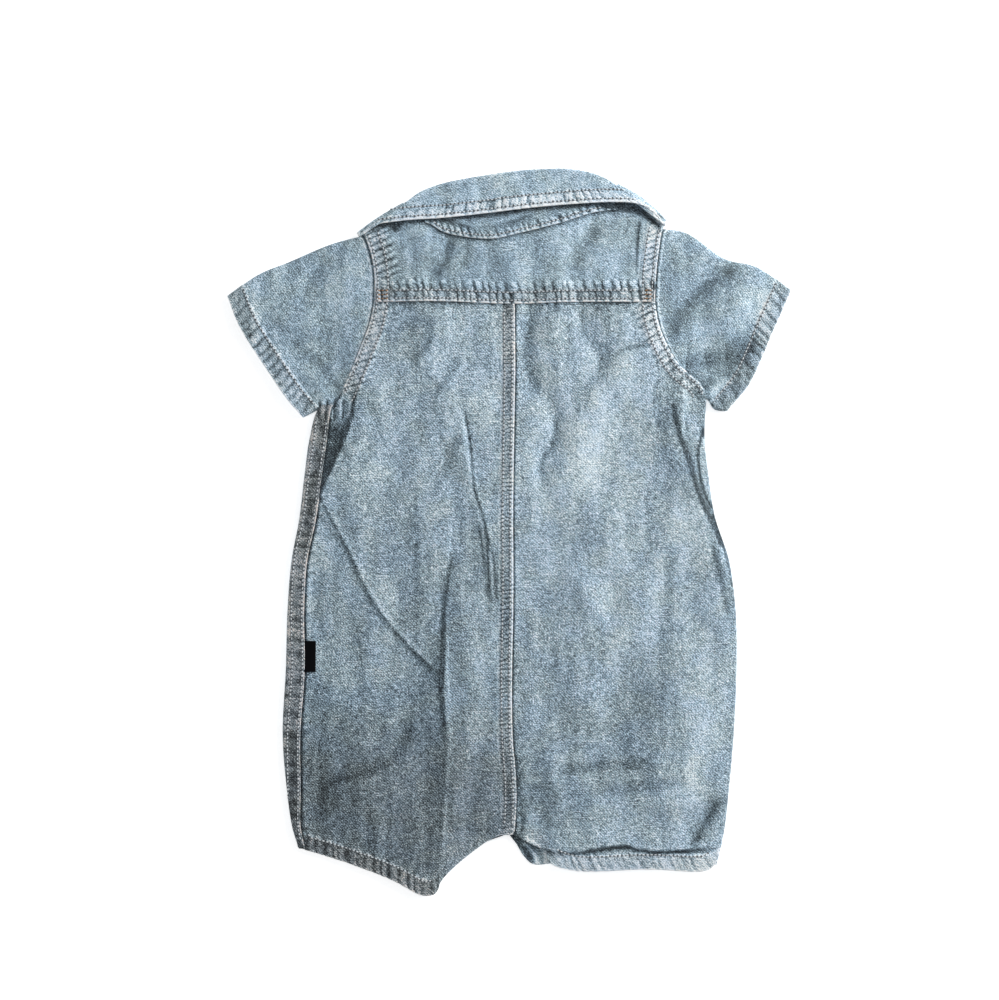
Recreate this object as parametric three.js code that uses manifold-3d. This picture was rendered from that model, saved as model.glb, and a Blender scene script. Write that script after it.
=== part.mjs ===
import * as THREE from 'three';
import { mergeVertices } from 'three/addons/utils/BufferGeometryUtils.js';
import Module from 'manifold-3d';

// Baby romper of light denim, laid flat on its front with its back up. Millimetres, +Z up.
// The origin is on the surface it lies on, under the middle of the garment.
// +Y runs to the collar. +X runs to the wearer's right, and left and right are the wearer's.

const wasm = await Module();
wasm.setup();

// Driving sizes
const clothWall = 1.2;
const collarWall = 1.5;
const pieceGap = 0.3;
const seamRise = 0.6;
const centreSeamWidth = 7.2;
const yokeSeamWidth = 7;
const armholeSeamWidth = 11;
const hemDepth = 10;
const sleeveHemDepth = 9;
const sleeveHeight = 3.6;
const sleeveEdgeRound = 4;
const deepestTrough = -0.5;
const crownHeight = 0.9;
const bandSlope = 0.8;
const underarmY = 86;
const leftHemEndX = -46;
const rightHemStartX = 25;
const sideInset = 6;

// How finely each cloth is divided
const backCounts = { across: 12, down: 32 };
const yokeCounts = { across: 22, down: 5 };
const frontCounts = { across: 5, down: 22 };
const sideTurnStep = 12;
const sideTurnFacets = 4;
const sleeveCounts = { along: 9, across: 9 };
const leafFacets = 4;
const rollFacets = 3;
const shoulderFacets = 4;
const standCounts = { along: 16, across: 3 };
const placketCounts = { across: 2, down: 26 };
const snapFacets = 16;

// The collar points lie under the top of the front, which they lift
const collarLift = 1.8;
const liftStartY = 50;
const liftEndY = 128;

const placketWidth = 21;
const placketTopY = 160;
const placketBottomY = -178;
const snapCount = 6;
const snapPitch = 44;
const snapTopY = 88;
const snapDiameter = 9.5;
const snapHeight = 0.5;
const snapRecess = 0.8;

const tabLength = 19.5;
const tabWidth = 6.9;
const tabTopY = -68.7;
const tabLeftX = -128.6;
const tabWall = 1;

// A table is a list of rows with named columns
const table = (columns, ...rows) => rows.map(
  (row) => Object.fromEntries(columns.map((name, index) => [name, row[index]])),
);

// Body sections from the yoke seam down: the side edge, the inner edge of the left side seam, the middle
// of the back and the right edge. Above y 86 the side edges are the armhole seams.
const bodySections = table(
  ['y', 'leftEdge', 'leftSeam', 'middle', 'rightEdge'],
  [145, -85, -85, 3.4, 91.8],
  [132, -87.6, -87.6, 3.6, 94],
  [118, -93, -93, 3.7, 99.4],
  [104, -98.6, -98.6, 3.8, 108],
  [94, -103, -103, 3.8, 120],
  [86, -107, -107, 3.6, 124.4],
  [78, -120, -112, 3.5, 124.2],
  [60, -125.8, -114.6, 3.2, 123.6],
  [36, -129.2, -118, 2.8, 126],
  [8, -132.6, -121.6, 2.5, 130.4],
  [-18, -137.4, -127.2, 2.7, 138.8],
  [-50, -140, -129.2, 2.6, 143.2],
  [-86, -141, -128.8, 1.9, 143.8],
  [-128, -143, -131.6, 2.2, 142],
  [-162, -140.4, -131.4, 4.4, 139],
  [-186, -137, -131.4, 3.6, 136.4],
  [-199, -133, -128.8, 2, 133.8],
  [-211, -129, -127, 2, 131],
);

// Lower edge of the left leg, from its side to the crotch
const leftLegEdge = table(
  ['x', 'y'],
  [-128.8, -200.6],
  [-102.4, -208.5],
  [-73, -219.6],
  [-54.5, -228.8],
  [-47.6, -227.4],
  [-37.3, -213],
  [-20, -199.6],
  [-7, -191.4],
  [2, -190.6],
);

// Lower edge of the right leg of the back, from its side to the crotch
const rightLegEdge = table(
  ['x', 'y'],
  [131, -209.8],
  [125, -213.2],
  [86, -212.7],
  [40.3, -213.4],
  [25.4, -208],
  [24.6, -202.4],
  [12, -195.4],
  [3, -190.6],
);

// Lower edge of the right leg of the front, which shows below the back at the crotch
const rightFrontEdge = table(
  ['x', 'y'],
  [128, -207],
  [80, -210],
  [30, -209.4],
  [15, -209.8],
  [9.2, -204.6],
  [4.6, -197],
  [0.4, -191.4],
);

// Upper edge of the yoke: shoulder, neck seam, shoulder
const yokeTop = table(
  ['x', 'y'],
  [-91, 187.6],
  [-72, 195.6],
  [-51, 195],
  [-41, 189.4],
  [-12.2, 185.2],
  [5.7, 188.6],
  [30, 194.6],
  [57, 202.4],
  [78, 202.6],
  [96.4, 191.4],
);

// Armhole seams above the yoke seam, up to the shoulder
const armholeTops = {
  left: table(['x', 'y'], [-91, 187.6], [-86.6, 174], [-84.6, 160], [-85, 145]),
  right: table(['x', 'y'], [96.4, 191.4], [94, 176], [92.4, 160], [91.8, 145]),
};

const sleeveEdges = {
  left: {
    shoulder: table(['x', 'y'], [-91.4, 187.6], [-113, 181.4], [-140, 170], [-157, 163], [-177.6, 149]),
    hem: table(['x', 'y'], [-177.6, 149], [-169.4, 129], [-152, 101.4], [-139, 82.6], [-130, 72.4]),
    underarm: table(['x', 'y'], [-108.2, 84.4], [-113.4, 80.4], [-120.6, 77.4], [-130, 72.4]),
  },
  right: {
    shoulder: table(['x', 'y'], [96.8, 191.4], [112, 188.6], [136, 172.6], [156, 167.4], [178.2, 152.6]),
    hem: table(['x', 'y'], [178.2, 152.6], [167.4, 128.4], [159.8, 110.5], [150.6, 92], [137.6, 76.4]),
    underarm: table(['x', 'y'], [125.4, 86], [126.8, 82], [130, 77.6], [137.6, 76.4]),
  },
};

// Collar leaf sections: where it rolls over, where its free edge lies and how far that edge lifts.
// The first and last rows are the folds over the shoulders.
const leafSections = table(
  ['rollX', 'rollY', 'edgeX', 'edgeY', 'edgeLift'],
  [-66, 206, -95.4, 187.4, 0],
  [-58, 212.4, -86, 192.6, 0.1],
  [-46, 217.6, -68, 195.6, 0.2],
  [-28, 221.8, -42, 197.4, 0.2],
  [-6, 225.2, -14, 200.4, 0.3],
  [18, 227.8, 14, 203.8, 0.3],
  [38, 228, 42, 206.2, 0.5],
  [53, 225, 66, 207.4, 1.2],
  [62, 222, 84, 205.6, 1.6],
  [68, 218.4, 97.2, 192.4, 0.4],
);

// The collar goes on under the front to its two points
const collarPoints = {
  left: table(['rollX', 'rollY', 'edgeX', 'edgeY'], [-44, 186, -80, 158], [-14, 164, -52, 132]),
  right: table(['rollX', 'rollY', 'edgeX', 'edgeY'], [44, 186, 80, 158], [14, 164, 52, 132]),
};

// Folds of the cloth: each is a ridge, or a trough where its height is below zero, with its two flanks
// as seen when walking along it. The steep flank of a tuck is the edge of an overhang.
const folds = [
  { name: 'left side tuck', height: 2.2, leftFlank: 26, rightFlank: 3,
    path: [[-98, 78], [-104, 58], [-109, 42], [-117, 25], [-122, 8]] },
  { name: 'right side tuck', height: 2.2, leftFlank: 3, rightFlank: 26,
    path: [[110, 92], [108.6, 70], [109.6, 54], [121, 19.5], [130, -2], [138, -28]] },
  { name: 'left leg step', height: 1.9, leftFlank: 22, rightFlank: 3,
    path: [[-38, -16], [-40.4, -40], [-40, -84], [-37.8, -120], [-40, -165], [-44.6, -222]] },
  { name: 'left slanted crease', height: 1.1, leftFlank: 10, rightFlank: 5,
    path: [[-122, 19], [-101, -13], [-84, -47], [-64, -71], [-46, -88]] },
  { name: 'ridge by the centre seam', height: 1, leftFlank: 5, rightFlank: 9,
    path: [[-28, 62], [-21, 25], [-14, 2], [-12, -30], [-12, -52]] },
  { name: 'left leg trough', height: -0.9, leftFlank: 9, rightFlank: 9,
    path: [[-58, -124], [-75, -147], [-98, -155], [-118, -178]] },
  { name: 'bulge over the right hem', height: 1.7, leftFlank: 12, rightFlank: 3,
    path: [[24, -197], [50, -200], [82, -198], [132, -199]] },
  { name: 'right leg trough', height: -0.8, leftFlank: 8, rightFlank: 8,
    path: [[136, -168], [121, -182], [108, -199]] },
  { name: 'left yoke trough', height: -0.8, leftFlank: 6, rightFlank: 8,
    path: [[-30, 184], [-41, 169], [-52, 155]] },
  { name: 'right yoke trough', height: -0.7, leftFlank: 7, rightFlank: 7,
    path: [[50, 192], [43, 174], [39, 156]] },
  { name: 'right back trough', height: -0.8, leftFlank: 7, rightFlank: 9,
    path: [[17, 137], [12, 108], [22, 80], [20, 40]] },
  { name: 'right sleeve trough', height: -0.8, leftFlank: 8, rightFlank: 8,
    path: [[146, 167], [118, 142], [104, 129]] },
  { name: 'left sleeve trough', height: -0.7, leftFlank: 7, rightFlank: 9,
    path: [[-122, 160], [-116, 128], [-108, 104]] },
];

const finishes = {
  body: { color: 0x93a5af, roughness: 0.92, metalness: 0 },
  leftSide: { color: 0x84949d, roughness: 0.92, metalness: 0 },
  sleeve: { color: 0x9bb0bd, roughness: 0.92, metalness: 0 },
  collar: { color: 0xa6b6c0, roughness: 0.9, metalness: 0 },
  tab: { color: 0x101014, roughness: 0.8, metalness: 0 },
  snap: { color: 0xb9bcbe, roughness: 0.35, metalness: 0.9 },
};

// Small helpers of geometry

const smoothStep = (start, end, value) => THREE.MathUtils.smoothstep(value, start, end);

const curveThrough = (rows) => new THREE.CatmullRomCurve3(
  rows.map(({ x, y }) => new THREE.Vector3(x, y, 0)), false, 'centripetal',
);

// The value of one column of a table of sections at height y, whose rows run down
function columnAt(rows, column, y) {
  const last = rows.length - 1;
  const next = rows.findIndex((row) => row.y <= y);
  if (next === 0) return rows[0][column];
  if (next < 0) return rows[last][column];
  const share = (rows[next - 1].y - y) / (rows[next - 1].y - rows[next].y);
  return THREE.MathUtils.lerp(rows[next - 1][column], rows[next][column], share);
}

// Where a curve in plan that runs down passes a height y
function curveXAt(curve, y) {
  let low = 0;
  let high = 1;
  for (let pass = 0; pass < 30; pass += 1) {
    const share = (low + high) / 2;
    if (curve.getPoint(share).y > y) low = share; else high = share;
  }
  return curve.getPoint(low).x;
}

// Where a curve in plan that runs to the right passes a given x
function curveYAt(curve, x) {
  let low = 0;
  let high = 1;
  for (let pass = 0; pass < 30; pass += 1) {
    const share = (low + high) / 2;
    if (curve.getPoint(share).x < x) low = share; else high = share;
  }
  return curve.getPoint(low).y;
}

// A point between four edges: top and bottom run from the side to the middle, the other two run down
function patchPoint(edges, across, down) {
  const between = (first, second, share) => first.clone().lerp(second, share);
  const alongEnds = between(edges.top.getPointAt(across), edges.bottom.getPointAt(across), down);
  const alongSides = between(edges.side.getPointAt(down), edges.middle.getPointAt(down), across);
  const sideCorners = between(edges.top.getPointAt(0), edges.bottom.getPointAt(0), down);
  const middleCorners = between(edges.top.getPointAt(1), edges.bottom.getPointAt(1), down);
  return alongEnds.add(alongSides).sub(between(sideCorners, middleCorners, across));
}

// Shares from 0 to 1 for a row of the grid, with two lines of the grid at the inner side of each band
function stations(length, startBand, endBand, count) {
  const bandSides = (width) => (width > 0 ? [(width - bandSlope) / length, width / length] : []);
  const starts = bandSides(startBand);
  const ends = bandSides(endBand).map((share) => 1 - share).reverse();
  const first = starts[1] ?? 0;
  const last = ends[0] ?? 1;
  const shareAt = (k) => THREE.MathUtils.lerp(first, last, (k + 1) / count);
  return [0, ...starts, ...Array.from({ length: count - 1 }, (_, k) => shareAt(k)), ...ends, 1];
}

// A closed body from a sheet of middle points: the wall goes half to each side, and the outer side
// stands out further by the relief of each point
function wallGeometry(grid, { wall = clothWall, relief = null, wrapped = false } = {}) {
  const rows = grid.length;
  const columns = grid[0].length;
  const nextColumn = (j) => (wrapped ? (j + columns) % columns : THREE.MathUtils.clamp(j, 0, columns - 1));
  const step = (i, j) => grid[i][nextColumn(j)];
  const outer = [];
  const inner = [];
  for (let i = 0; i < rows; i += 1) {
    for (let j = 0; j < columns; j += 1) {
      const down = step(Math.min(i + 1, rows - 1), j).clone().sub(step(Math.max(i - 1, 0), j));
      const along = step(i, j + 1).clone().sub(step(i, j - 1));
      const normal = down.cross(along).normalize();
      const raised = wall / 2 + (relief ? relief(i, j) : 0);
      outer.push(grid[i][j].clone().addScaledVector(normal, raised));
      inner.push(grid[i][j].clone().addScaledVector(normal, -wall / 2));
    }
  }
  const indices = [];
  const quad = (a, b, c, d) => indices.push(a, b, c, a, c, d);
  const outerAt = (i, j) => i * columns + (j % columns);
  const innerAt = (i, j) => rows * columns + outerAt(i, j);
  const lastColumn = wrapped ? columns : columns - 1;
  for (let i = 0; i < rows - 1; i += 1) {
    for (let j = 0; j < lastColumn; j += 1) {
      quad(outerAt(i, j), outerAt(i + 1, j), outerAt(i + 1, j + 1), outerAt(i, j + 1));
      quad(innerAt(i, j), innerAt(i, j + 1), innerAt(i + 1, j + 1), innerAt(i + 1, j));
    }
  }
  for (let j = 0; j < lastColumn; j += 1) {
    quad(outerAt(0, j), outerAt(0, j + 1), innerAt(0, j + 1), innerAt(0, j));
    quad(outerAt(rows - 1, j), innerAt(rows - 1, j), innerAt(rows - 1, j + 1), outerAt(rows - 1, j + 1));
  }
  if (!wrapped) {
    const end = columns - 1;
    for (let i = 0; i < rows - 1; i += 1) {
      quad(outerAt(i, 0), innerAt(i, 0), innerAt(i + 1, 0), outerAt(i + 1, 0));
      quad(outerAt(i, end), outerAt(i + 1, end), innerAt(i + 1, end), innerAt(i, end));
    }
  }
  const geometry = new THREE.BufferGeometry();
  const points = [...outer, ...inner];
  geometry.setAttribute('position', new THREE.Float32BufferAttribute(points.flatMap((p) => p.toArray()), 3));
  geometry.setIndex(indices);
  return geometry;
}

function toSolid(geometry) {
  const plain = new THREE.BufferGeometry();
  plain.setAttribute('position', geometry.getAttribute('position'));
  plain.setIndex(geometry.getIndex());
  const merged = mergeVertices(plain, 1e-4);
  return new wasm.Manifold(new wasm.Mesh({
    numProp: 3,
    vertProperties: Float32Array.from(merged.getAttribute('position').array),
    triVerts: Uint32Array.from(merged.getIndex().array),
  }));
}

function fromSolid(solid) {
  const { vertProperties, triVerts } = solid.getMesh();
  const geometry = new THREE.BufferGeometry();
  geometry.setAttribute('position', new THREE.BufferAttribute(vertProperties, 3));
  geometry.setIndex(new THREE.BufferAttribute(triVerts, 1));
  return geometry;
}

// Heights of the layers

// The nearest point of a path in plan: how far it is, on which side, and how far along the path
function nearestOnPath(path, x, y) {
  let best = { distance: Infinity, side: 0, along: 0 };
  for (let index = 0; index < path.length - 1; index += 1) {
    const [startX, startY] = path[index];
    const runX = path[index + 1][0] - startX;
    const runY = path[index + 1][1] - startY;
    const share = ((x - startX) * runX + (y - startY) * runY) / (runX * runX + runY * runY);
    const held = THREE.MathUtils.clamp(share, 0, 1);
    const offX = x - startX - held * runX;
    const offY = y - startY - held * runY;
    const distance = Math.hypot(offX, offY);
    if (distance < best.distance) {
      const side = Math.sign(runX * offY - runY * offX);
      best = { distance, side, along: (index + held) / (path.length - 1) };
    }
  }
  return best;
}

function foldRise(x, y) {
  let total = 0;
  for (const fold of folds) {
    const near = nearestOnPath(fold.path, x, y);
    const flank = near.side > 0 ? fold.leftFlank : fold.rightFlank;
    const fade = smoothStep(-0.12, 0.12, near.along) * smoothStep(-0.12, 0.12, 1 - near.along);
    total += fold.height * fade * Math.exp(-((near.distance / flank) ** 2));
  }
  return total;
}

const frontLift = (y) => collarLift * smoothStep(liftStartY, liftEndY, y);

// How far the cloth of the back stands off the front below it
function loft(x, y) {
  const left = columnAt(bodySections, 'leftEdge', y);
  const right = columnAt(bodySections, 'rightEdge', y);
  const share = THREE.MathUtils.clamp((x - left) / (right - left), 0, 1);
  const crown = crownHeight * (1 - (2 * share - 1) ** 6);
  return Math.max(0, crown + foldRise(x, y));
}

const backMiddle = (x, y) => frontLift(y) + 1.5 * clothWall + pieceGap + loft(x, y);
const frontMiddle = (x, y) => frontLift(y) + clothWall / 2;

// Panels between four edges

function panelGrid(edges, bands, counts, heightAt) {
  const downShares = (length) => stations(length, bands.top, bands.bottom, counts.down);
  return downShares(edges.side.getLength()).map((nominal, i) => {
    const width = edges.side.getPointAt(nominal).distanceTo(edges.middle.getPointAt(nominal));
    return stations(width, bands.side, bands.middle, counts.across).map((across) => {
      const length = patchPoint(edges, across, 0).distanceTo(patchPoint(edges, across, 1));
      const point = patchPoint(edges, across, downShares(length)[i]);
      point.z = heightAt(point.x, point.y);
      return point;
    });
  });
}

// The relief of seam bands and hems: doubled cloth along each edge that has a band
function bandRelief(grid, bands) {
  const lastRow = grid.length - 1;
  const lastColumn = grid[0].length - 1;
  return (i, j) => {
    const { x, y } = grid[i][j];
    const onBottom = bands.bottom > 0 && i > lastRow - 2 && (!bands.isHem || bands.isHem(x));
    const onSide = bands.side > 0 && j < 2 && y > underarmY;
    const onMiddle = bands.middle > 0 && j > lastColumn - 2;
    return onBottom || onSide || onMiddle ? seamRise : 0;
  };
}

function panelGeometry(edges, bands, counts, heightAt) {
  const grid = panelGrid(edges, bands, counts, heightAt);
  const relief = bandRelief(grid, bands);
  const sideIsLeft = edges.side.getPointAt(0).x < edges.middle.getPointAt(0).x;
  if (sideIsLeft) return wallGeometry(grid, { relief });
  const lastColumn = grid[0].length - 1;
  const turned = grid.map((row) => [...row].reverse());
  return wallGeometry(turned, { relief: (i, j) => relief(i, lastColumn - j) });
}

const edgeThrough = (column, { shift = 0, from = Infinity, to = -Infinity }) => bodySections
  .filter((row) => row.y <= from && row.y >= to)
  .map((row) => ({ x: row[column] + shift, y: row.y }));

const straight = (start, end) => curveThrough([start, end]);

// The armhole seam from the shoulder to the underarm, moved sideways from its line
const armholeLine = (side, shift) => [
  armholeTops[side][0],
  ...armholeTops[side].slice(1, -1).map(({ x, y }) => ({ x: x + shift, y })),
  ...edgeThrough(`${side}Edge`, { shift, to: underarmY }),
];

// The cloth turned round a side of the body: sections down that side, from the back to the front
function sideTurn({ edgeColumn, backReach, frontReach, outward, fromY, toY, raised }) {
  const rowCount = Math.round((fromY - toY) / sideTurnStep);
  return Array.from({ length: rowCount + 1 }, (_, i) => {
    const y = THREE.MathUtils.lerp(fromY, toY, i / rowCount);
    const outside = columnAt(bodySections, edgeColumn, y);
    const lower = clothWall / 2;
    const radiusAt = (x) => (backMiddle(x, y) + raised - lower) / 2;
    const radius = radiusAt(outside);
    const edge = outside - outward * (radius + clothWall / 2);
    const inner = backReach(y, outside);
    const backShares = [0, 0.5];
    const section = backShares.map((share) => {
      const x = THREE.MathUtils.lerp(inner, edge, share);
      return new THREE.Vector3(x, y, backMiddle(x, y) + raised);
    });
    for (let step = 0; step <= sideTurnFacets; step += 1) {
      const angle = Math.PI / 2 - (Math.PI * step) / sideTurnFacets;
      const x = edge + outward * radius * Math.cos(angle);
      section.push(new THREE.Vector3(x, y, lower + radius + radius * Math.sin(angle)));
    }
    section.push(new THREE.Vector3(edge - outward * frontReach, y, lower));
    return outward > 0 ? section : section.reverse();
  });
}

const pieces = [];
const addPiece = (name, geometry, finish) => pieces.push({ name, geometry, finish });

// Back, left half: the band of the centre seam lies along its own edge
const leftCorner = leftLegEdge[0];
const crotch = leftLegEdge[leftLegEdge.length - 1];
const seamY = bodySections[0].y;
const middleX = bodySections[0].middle;
const aboveHem = { to: -190 };
const leftBackEdges = {
  side: curveThrough([...edgeThrough('leftSeam', { shift: pieceGap, ...aboveHem }), leftCorner]),
  middle: curveThrough([...edgeThrough('middle', aboveHem), crotch]),
  top: straight({ x: bodySections[0].leftSeam + pieceGap, y: seamY }, { x: middleX, y: seamY }),
  bottom: curveThrough(leftLegEdge),
};
const leftBackBands = {
  side: armholeSeamWidth, middle: centreSeamWidth, bottom: hemDepth, isHem: (x) => x < leftHemEndX,
};
addPiece('back_panel_left', panelGeometry(leftBackEdges, leftBackBands, backCounts, backMiddle), 'leftSide');

// Back, right half: its side is turned under, and the side seam lies under it
const rightCorner = rightLegEdge[0];
const rightCrotch = rightLegEdge[rightLegEdge.length - 1];
const rightInner = middleX + pieceGap;
const rightSidePoints = [
  ...edgeThrough('rightEdge', { shift: -pieceGap, to: 100 }),
  { x: 118.6, y: 92 },
  ...edgeThrough('rightEdge', { shift: -sideInset, from: 80, ...aboveHem }),
];
const rightBackEdges = {
  side: curveThrough([...rightSidePoints, { x: rightCorner.x - sideInset, y: rightCorner.y }]),
  middle: curveThrough([...edgeThrough('middle', { shift: pieceGap, ...aboveHem }), rightCrotch]),
  top: straight({ x: bodySections[0].rightEdge - pieceGap, y: seamY }, { x: rightInner, y: seamY }),
  bottom: curveThrough([{ x: rightCorner.x - sideInset, y: rightCorner.y }, ...rightLegEdge.slice(1)]),
};
const rightBackBands = { side: armholeSeamWidth, bottom: hemDepth, isHem: (x) => x > rightHemStartX };
const rightSideTurn = sideTurn({
  edgeColumn: 'rightEdge',
  outward: 1,
  backReach: (y, outside) => outside - sideInset - 3,
  frontReach: 3,
  fromY: 87,
  toY: -207,
  raised: 0.1,
});
const rightBackPanel = toSolid(panelGeometry(rightBackEdges, rightBackBands, backCounts, backMiddle));
addPiece('back_panel_right', fromSolid(rightBackPanel.add(toSolid(wallGeometry(rightSideTurn)))), 'body');

// Front, left half: turned round the side, where the felled side seam lies on the back
const placketSide = placketWidth / 2 + pieceGap;
const frontMiddlePoints = (side) => [
  { x: side * placketSide, y: placketTopY },
  { x: side * placketSide, y: 0 },
  { x: side * placketSide, y: placketBottomY },
];
const neckToShoulder = (side) => [
  { x: side * 60, y: 188 },
  { x: side * 34, y: 172 },
  { x: side * placketSide, y: placketTopY },
];
const leftFrontCrotch = { x: -0.4, y: -190.4 };
const leftFrontCorner = { x: leftCorner.x + 2, y: leftCorner.y + 1.5 };
const leftFrontEdges = {
  side: curveThrough([
    ...armholeLine('left', pieceGap),
    ...edgeThrough('leftEdge', { shift: sideInset, from: 70, ...aboveHem }),
    leftFrontCorner,
  ]),
  middle: curveThrough([...frontMiddlePoints(-1), { x: -8, y: placketBottomY - 4 }, leftFrontCrotch]),
  top: curveThrough([armholeTops.left[0], ...neckToShoulder(-1)]),
  bottom: curveThrough([
    leftFrontCorner,
    ...leftLegEdge.slice(1, -2).map(({ x, y }) => ({ x: x + 0.4, y: y + 1 })),
    leftFrontCrotch,
  ]),
};
const leftSideTurn = sideTurn({
  edgeColumn: 'leftEdge',
  outward: -1,
  backReach: (y) => curveXAt(leftBackEdges.side, y) - 1.5 * pieceGap,
  frontReach: 10,
  fromY: 76,
  toY: -198,
  raised: seamRise,
});
const plain = {};
const leftFrontPanel = toSolid(panelGeometry(leftFrontEdges, plain, frontCounts, frontMiddle));
addPiece('front_panel_left', fromSolid(leftFrontPanel.add(toSolid(wallGeometry(leftSideTurn)))), 'leftSide');

// Front, right half: it meets the turned side of the back
const frontSeamInset = sideInset + 1.6;
const rightFrontCorner = { x: rightFrontEdge[0].x - frontSeamInset, y: rightFrontEdge[0].y };
const rightFrontCrotch = rightFrontEdge[rightFrontEdge.length - 1];
const rightFrontEdges = {
  side: curveThrough([
    ...armholeLine('right', -pieceGap).filter(({ y }) => y > 100),
    { x: 115, y: 92 },
    ...edgeThrough('rightEdge', { shift: -frontSeamInset, from: 80, ...aboveHem }),
    rightFrontCorner,
  ]),
  middle: curveThrough([...frontMiddlePoints(1), { x: 8, y: placketBottomY - 4 }, rightFrontCrotch]),
  top: curveThrough([armholeTops.right[0], ...neckToShoulder(1)]),
  bottom: curveThrough([rightFrontCorner, ...rightFrontEdge.slice(1)]),
};
addPiece('front_panel_right', panelGeometry(rightFrontEdges, plain, frontCounts, frontMiddle), 'body');

// Yoke: its lower edge carries the felled yoke seam
const yokeSeamY = seamY + pieceGap;
const yokeCorner = (rows) => ({ x: rows[rows.length - 1].x, y: yokeSeamY });
const yokeEdges = {
  side: curveThrough([...armholeTops.left.slice(0, -1), yokeCorner(armholeTops.left)]),
  middle: curveThrough([...armholeTops.right.slice(0, -1), yokeCorner(armholeTops.right)]),
  top: curveThrough(yokeTop),
  bottom: straight(yokeCorner(armholeTops.left), yokeCorner(armholeTops.right)),
};
const yokeBands = { side: armholeSeamWidth, middle: armholeSeamWidth, bottom: yokeSeamWidth };
addPiece('back_yoke', panelGeometry(yokeEdges, yokeBands, yokeCounts, backMiddle), 'body');

// Sleeves: flattened tubes from the armhole to the hem, open at both ends
function sleeveGeometry(side, outward) {
  const armholeGap = pieceGap + 0.2;
  const root = armholeLine(side, outward * armholeGap);
  const { shoulder, hem, underarm } = sleeveEdges[side];
  const edges = {
    side: curveThrough([shoulder[0], ...root.slice(1, -1), underarm[0]]),
    middle: curveThrough(hem),
    top: curveThrough(shoulder),
    bottom: curveThrough(underarm),
  };
  const rim = clothWall / 2;
  const length = edges.top.getLength();
  const hemShare = 1 - sleeveHemDepth / length;
  const shareAt = (k) => (hemShare * k) / (sleeveCounts.along - 1);
  const alongShares = Array.from({ length: sleeveCounts.along }, (_, k) => shareAt(k));
  alongShares.push(hemShare + bandSlope / length, 1);
  const grid = alongShares.map((along) => {
    const width = patchPoint(edges, along, 0).distanceTo(patchPoint(edges, along, 1));
    const rounded = [rim, rim + 0.7, rim + 2];
    const flatFrom = rim + sleeveEdgeRound;
    const flatAt = (k) => THREE.MathUtils.lerp(flatFrom, width - flatFrom, k / sleeveCounts.across);
    const flat = Array.from({ length: sleeveCounts.across + 1 }, (_, k) => flatAt(k));
    const distances = [...rounded, ...flat, ...[...rounded].reverse().map((distance) => width - distance)];
    const pointAt = (distance, onTop) => {
      const point = patchPoint(edges, along, distance / width);
      const { x, y } = point;
      const openTop = sleeveHeight - clothWall / 2 + Math.max(deepestTrough, foldRise(x, y));
      const top = THREE.MathUtils.lerp(backMiddle(x, y), openTop, smoothStep(0, 0.5, along));
      const base = THREE.MathUtils.lerp(frontMiddle(x, y), clothWall / 2, smoothStep(0, 0.35, along));
      const fromEdge = Math.max(0, Math.min(distance, width - distance) - rim);
      const swell = Math.sqrt(1 - (1 - Math.min(1, fromEdge / sleeveEdgeRound)) ** 2);
      point.z = (top + base) / 2 + (onTop ? 1 : -1) * ((top - base) / 2) * swell;
      return point;
    };
    const upper = distances.map((distance) => pointAt(distance, true));
    const under = distances.slice(1, -1).reverse().map((distance) => pointAt(distance, false));
    return [...upper, ...under];
  });
  const lastRow = grid.length - 1;
  const ordered = outward < 0 ? grid.map((row) => [...row].reverse()) : grid;
  const isTop = (point) => point.z > 1.5 * clothWall;
  const relief = (i, j) => (i > lastRow - 2 && isTop(ordered[i][j]) ? seamRise / 2 : 0);
  return wallGeometry(ordered, { wrapped: true, relief });
}
addPiece('sleeve_left', sleeveGeometry('left', -1), 'sleeve');
addPiece('sleeve_right', sleeveGeometry('right', 1), 'sleeve');

// Collar leaf: folded back over the yoke, round both shoulders and on under the front
const leafClearance = pieceGap + seamRise;
const leafMiddle = (x, y) => backMiddle(x, y) + clothWall / 2 + leafClearance + collarWall / 2;
const underMiddle = collarWall / 2;
const rollRadius = 1.2;
const underRollRadius = 0.8;
const up = new THREE.Vector3(0, 0, 1);

// One section across the leaf, from its free edge to the roll and round it towards the stand
function leafSection(edge, roll, outward, radius = rollRadius) {
  const along = roll.clone().sub(edge).normalize();
  const flatEnd = roll.clone().addScaledVector(along, -radius);
  const section = [];
  for (let step = 0; step < leafFacets; step += 1) {
    section.push(edge.clone().lerp(flatEnd, step / leafFacets));
  }
  const centre = flatEnd.clone().addScaledVector(outward, -radius);
  for (let step = 0; step <= rollFacets; step += 1) {
    const angle = (Math.PI * step) / rollFacets;
    section.push(centre.clone()
      .addScaledVector(along, radius * Math.sin(angle))
      .addScaledVector(outward, radius * Math.cos(angle)));
  }
  return section;
}

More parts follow.
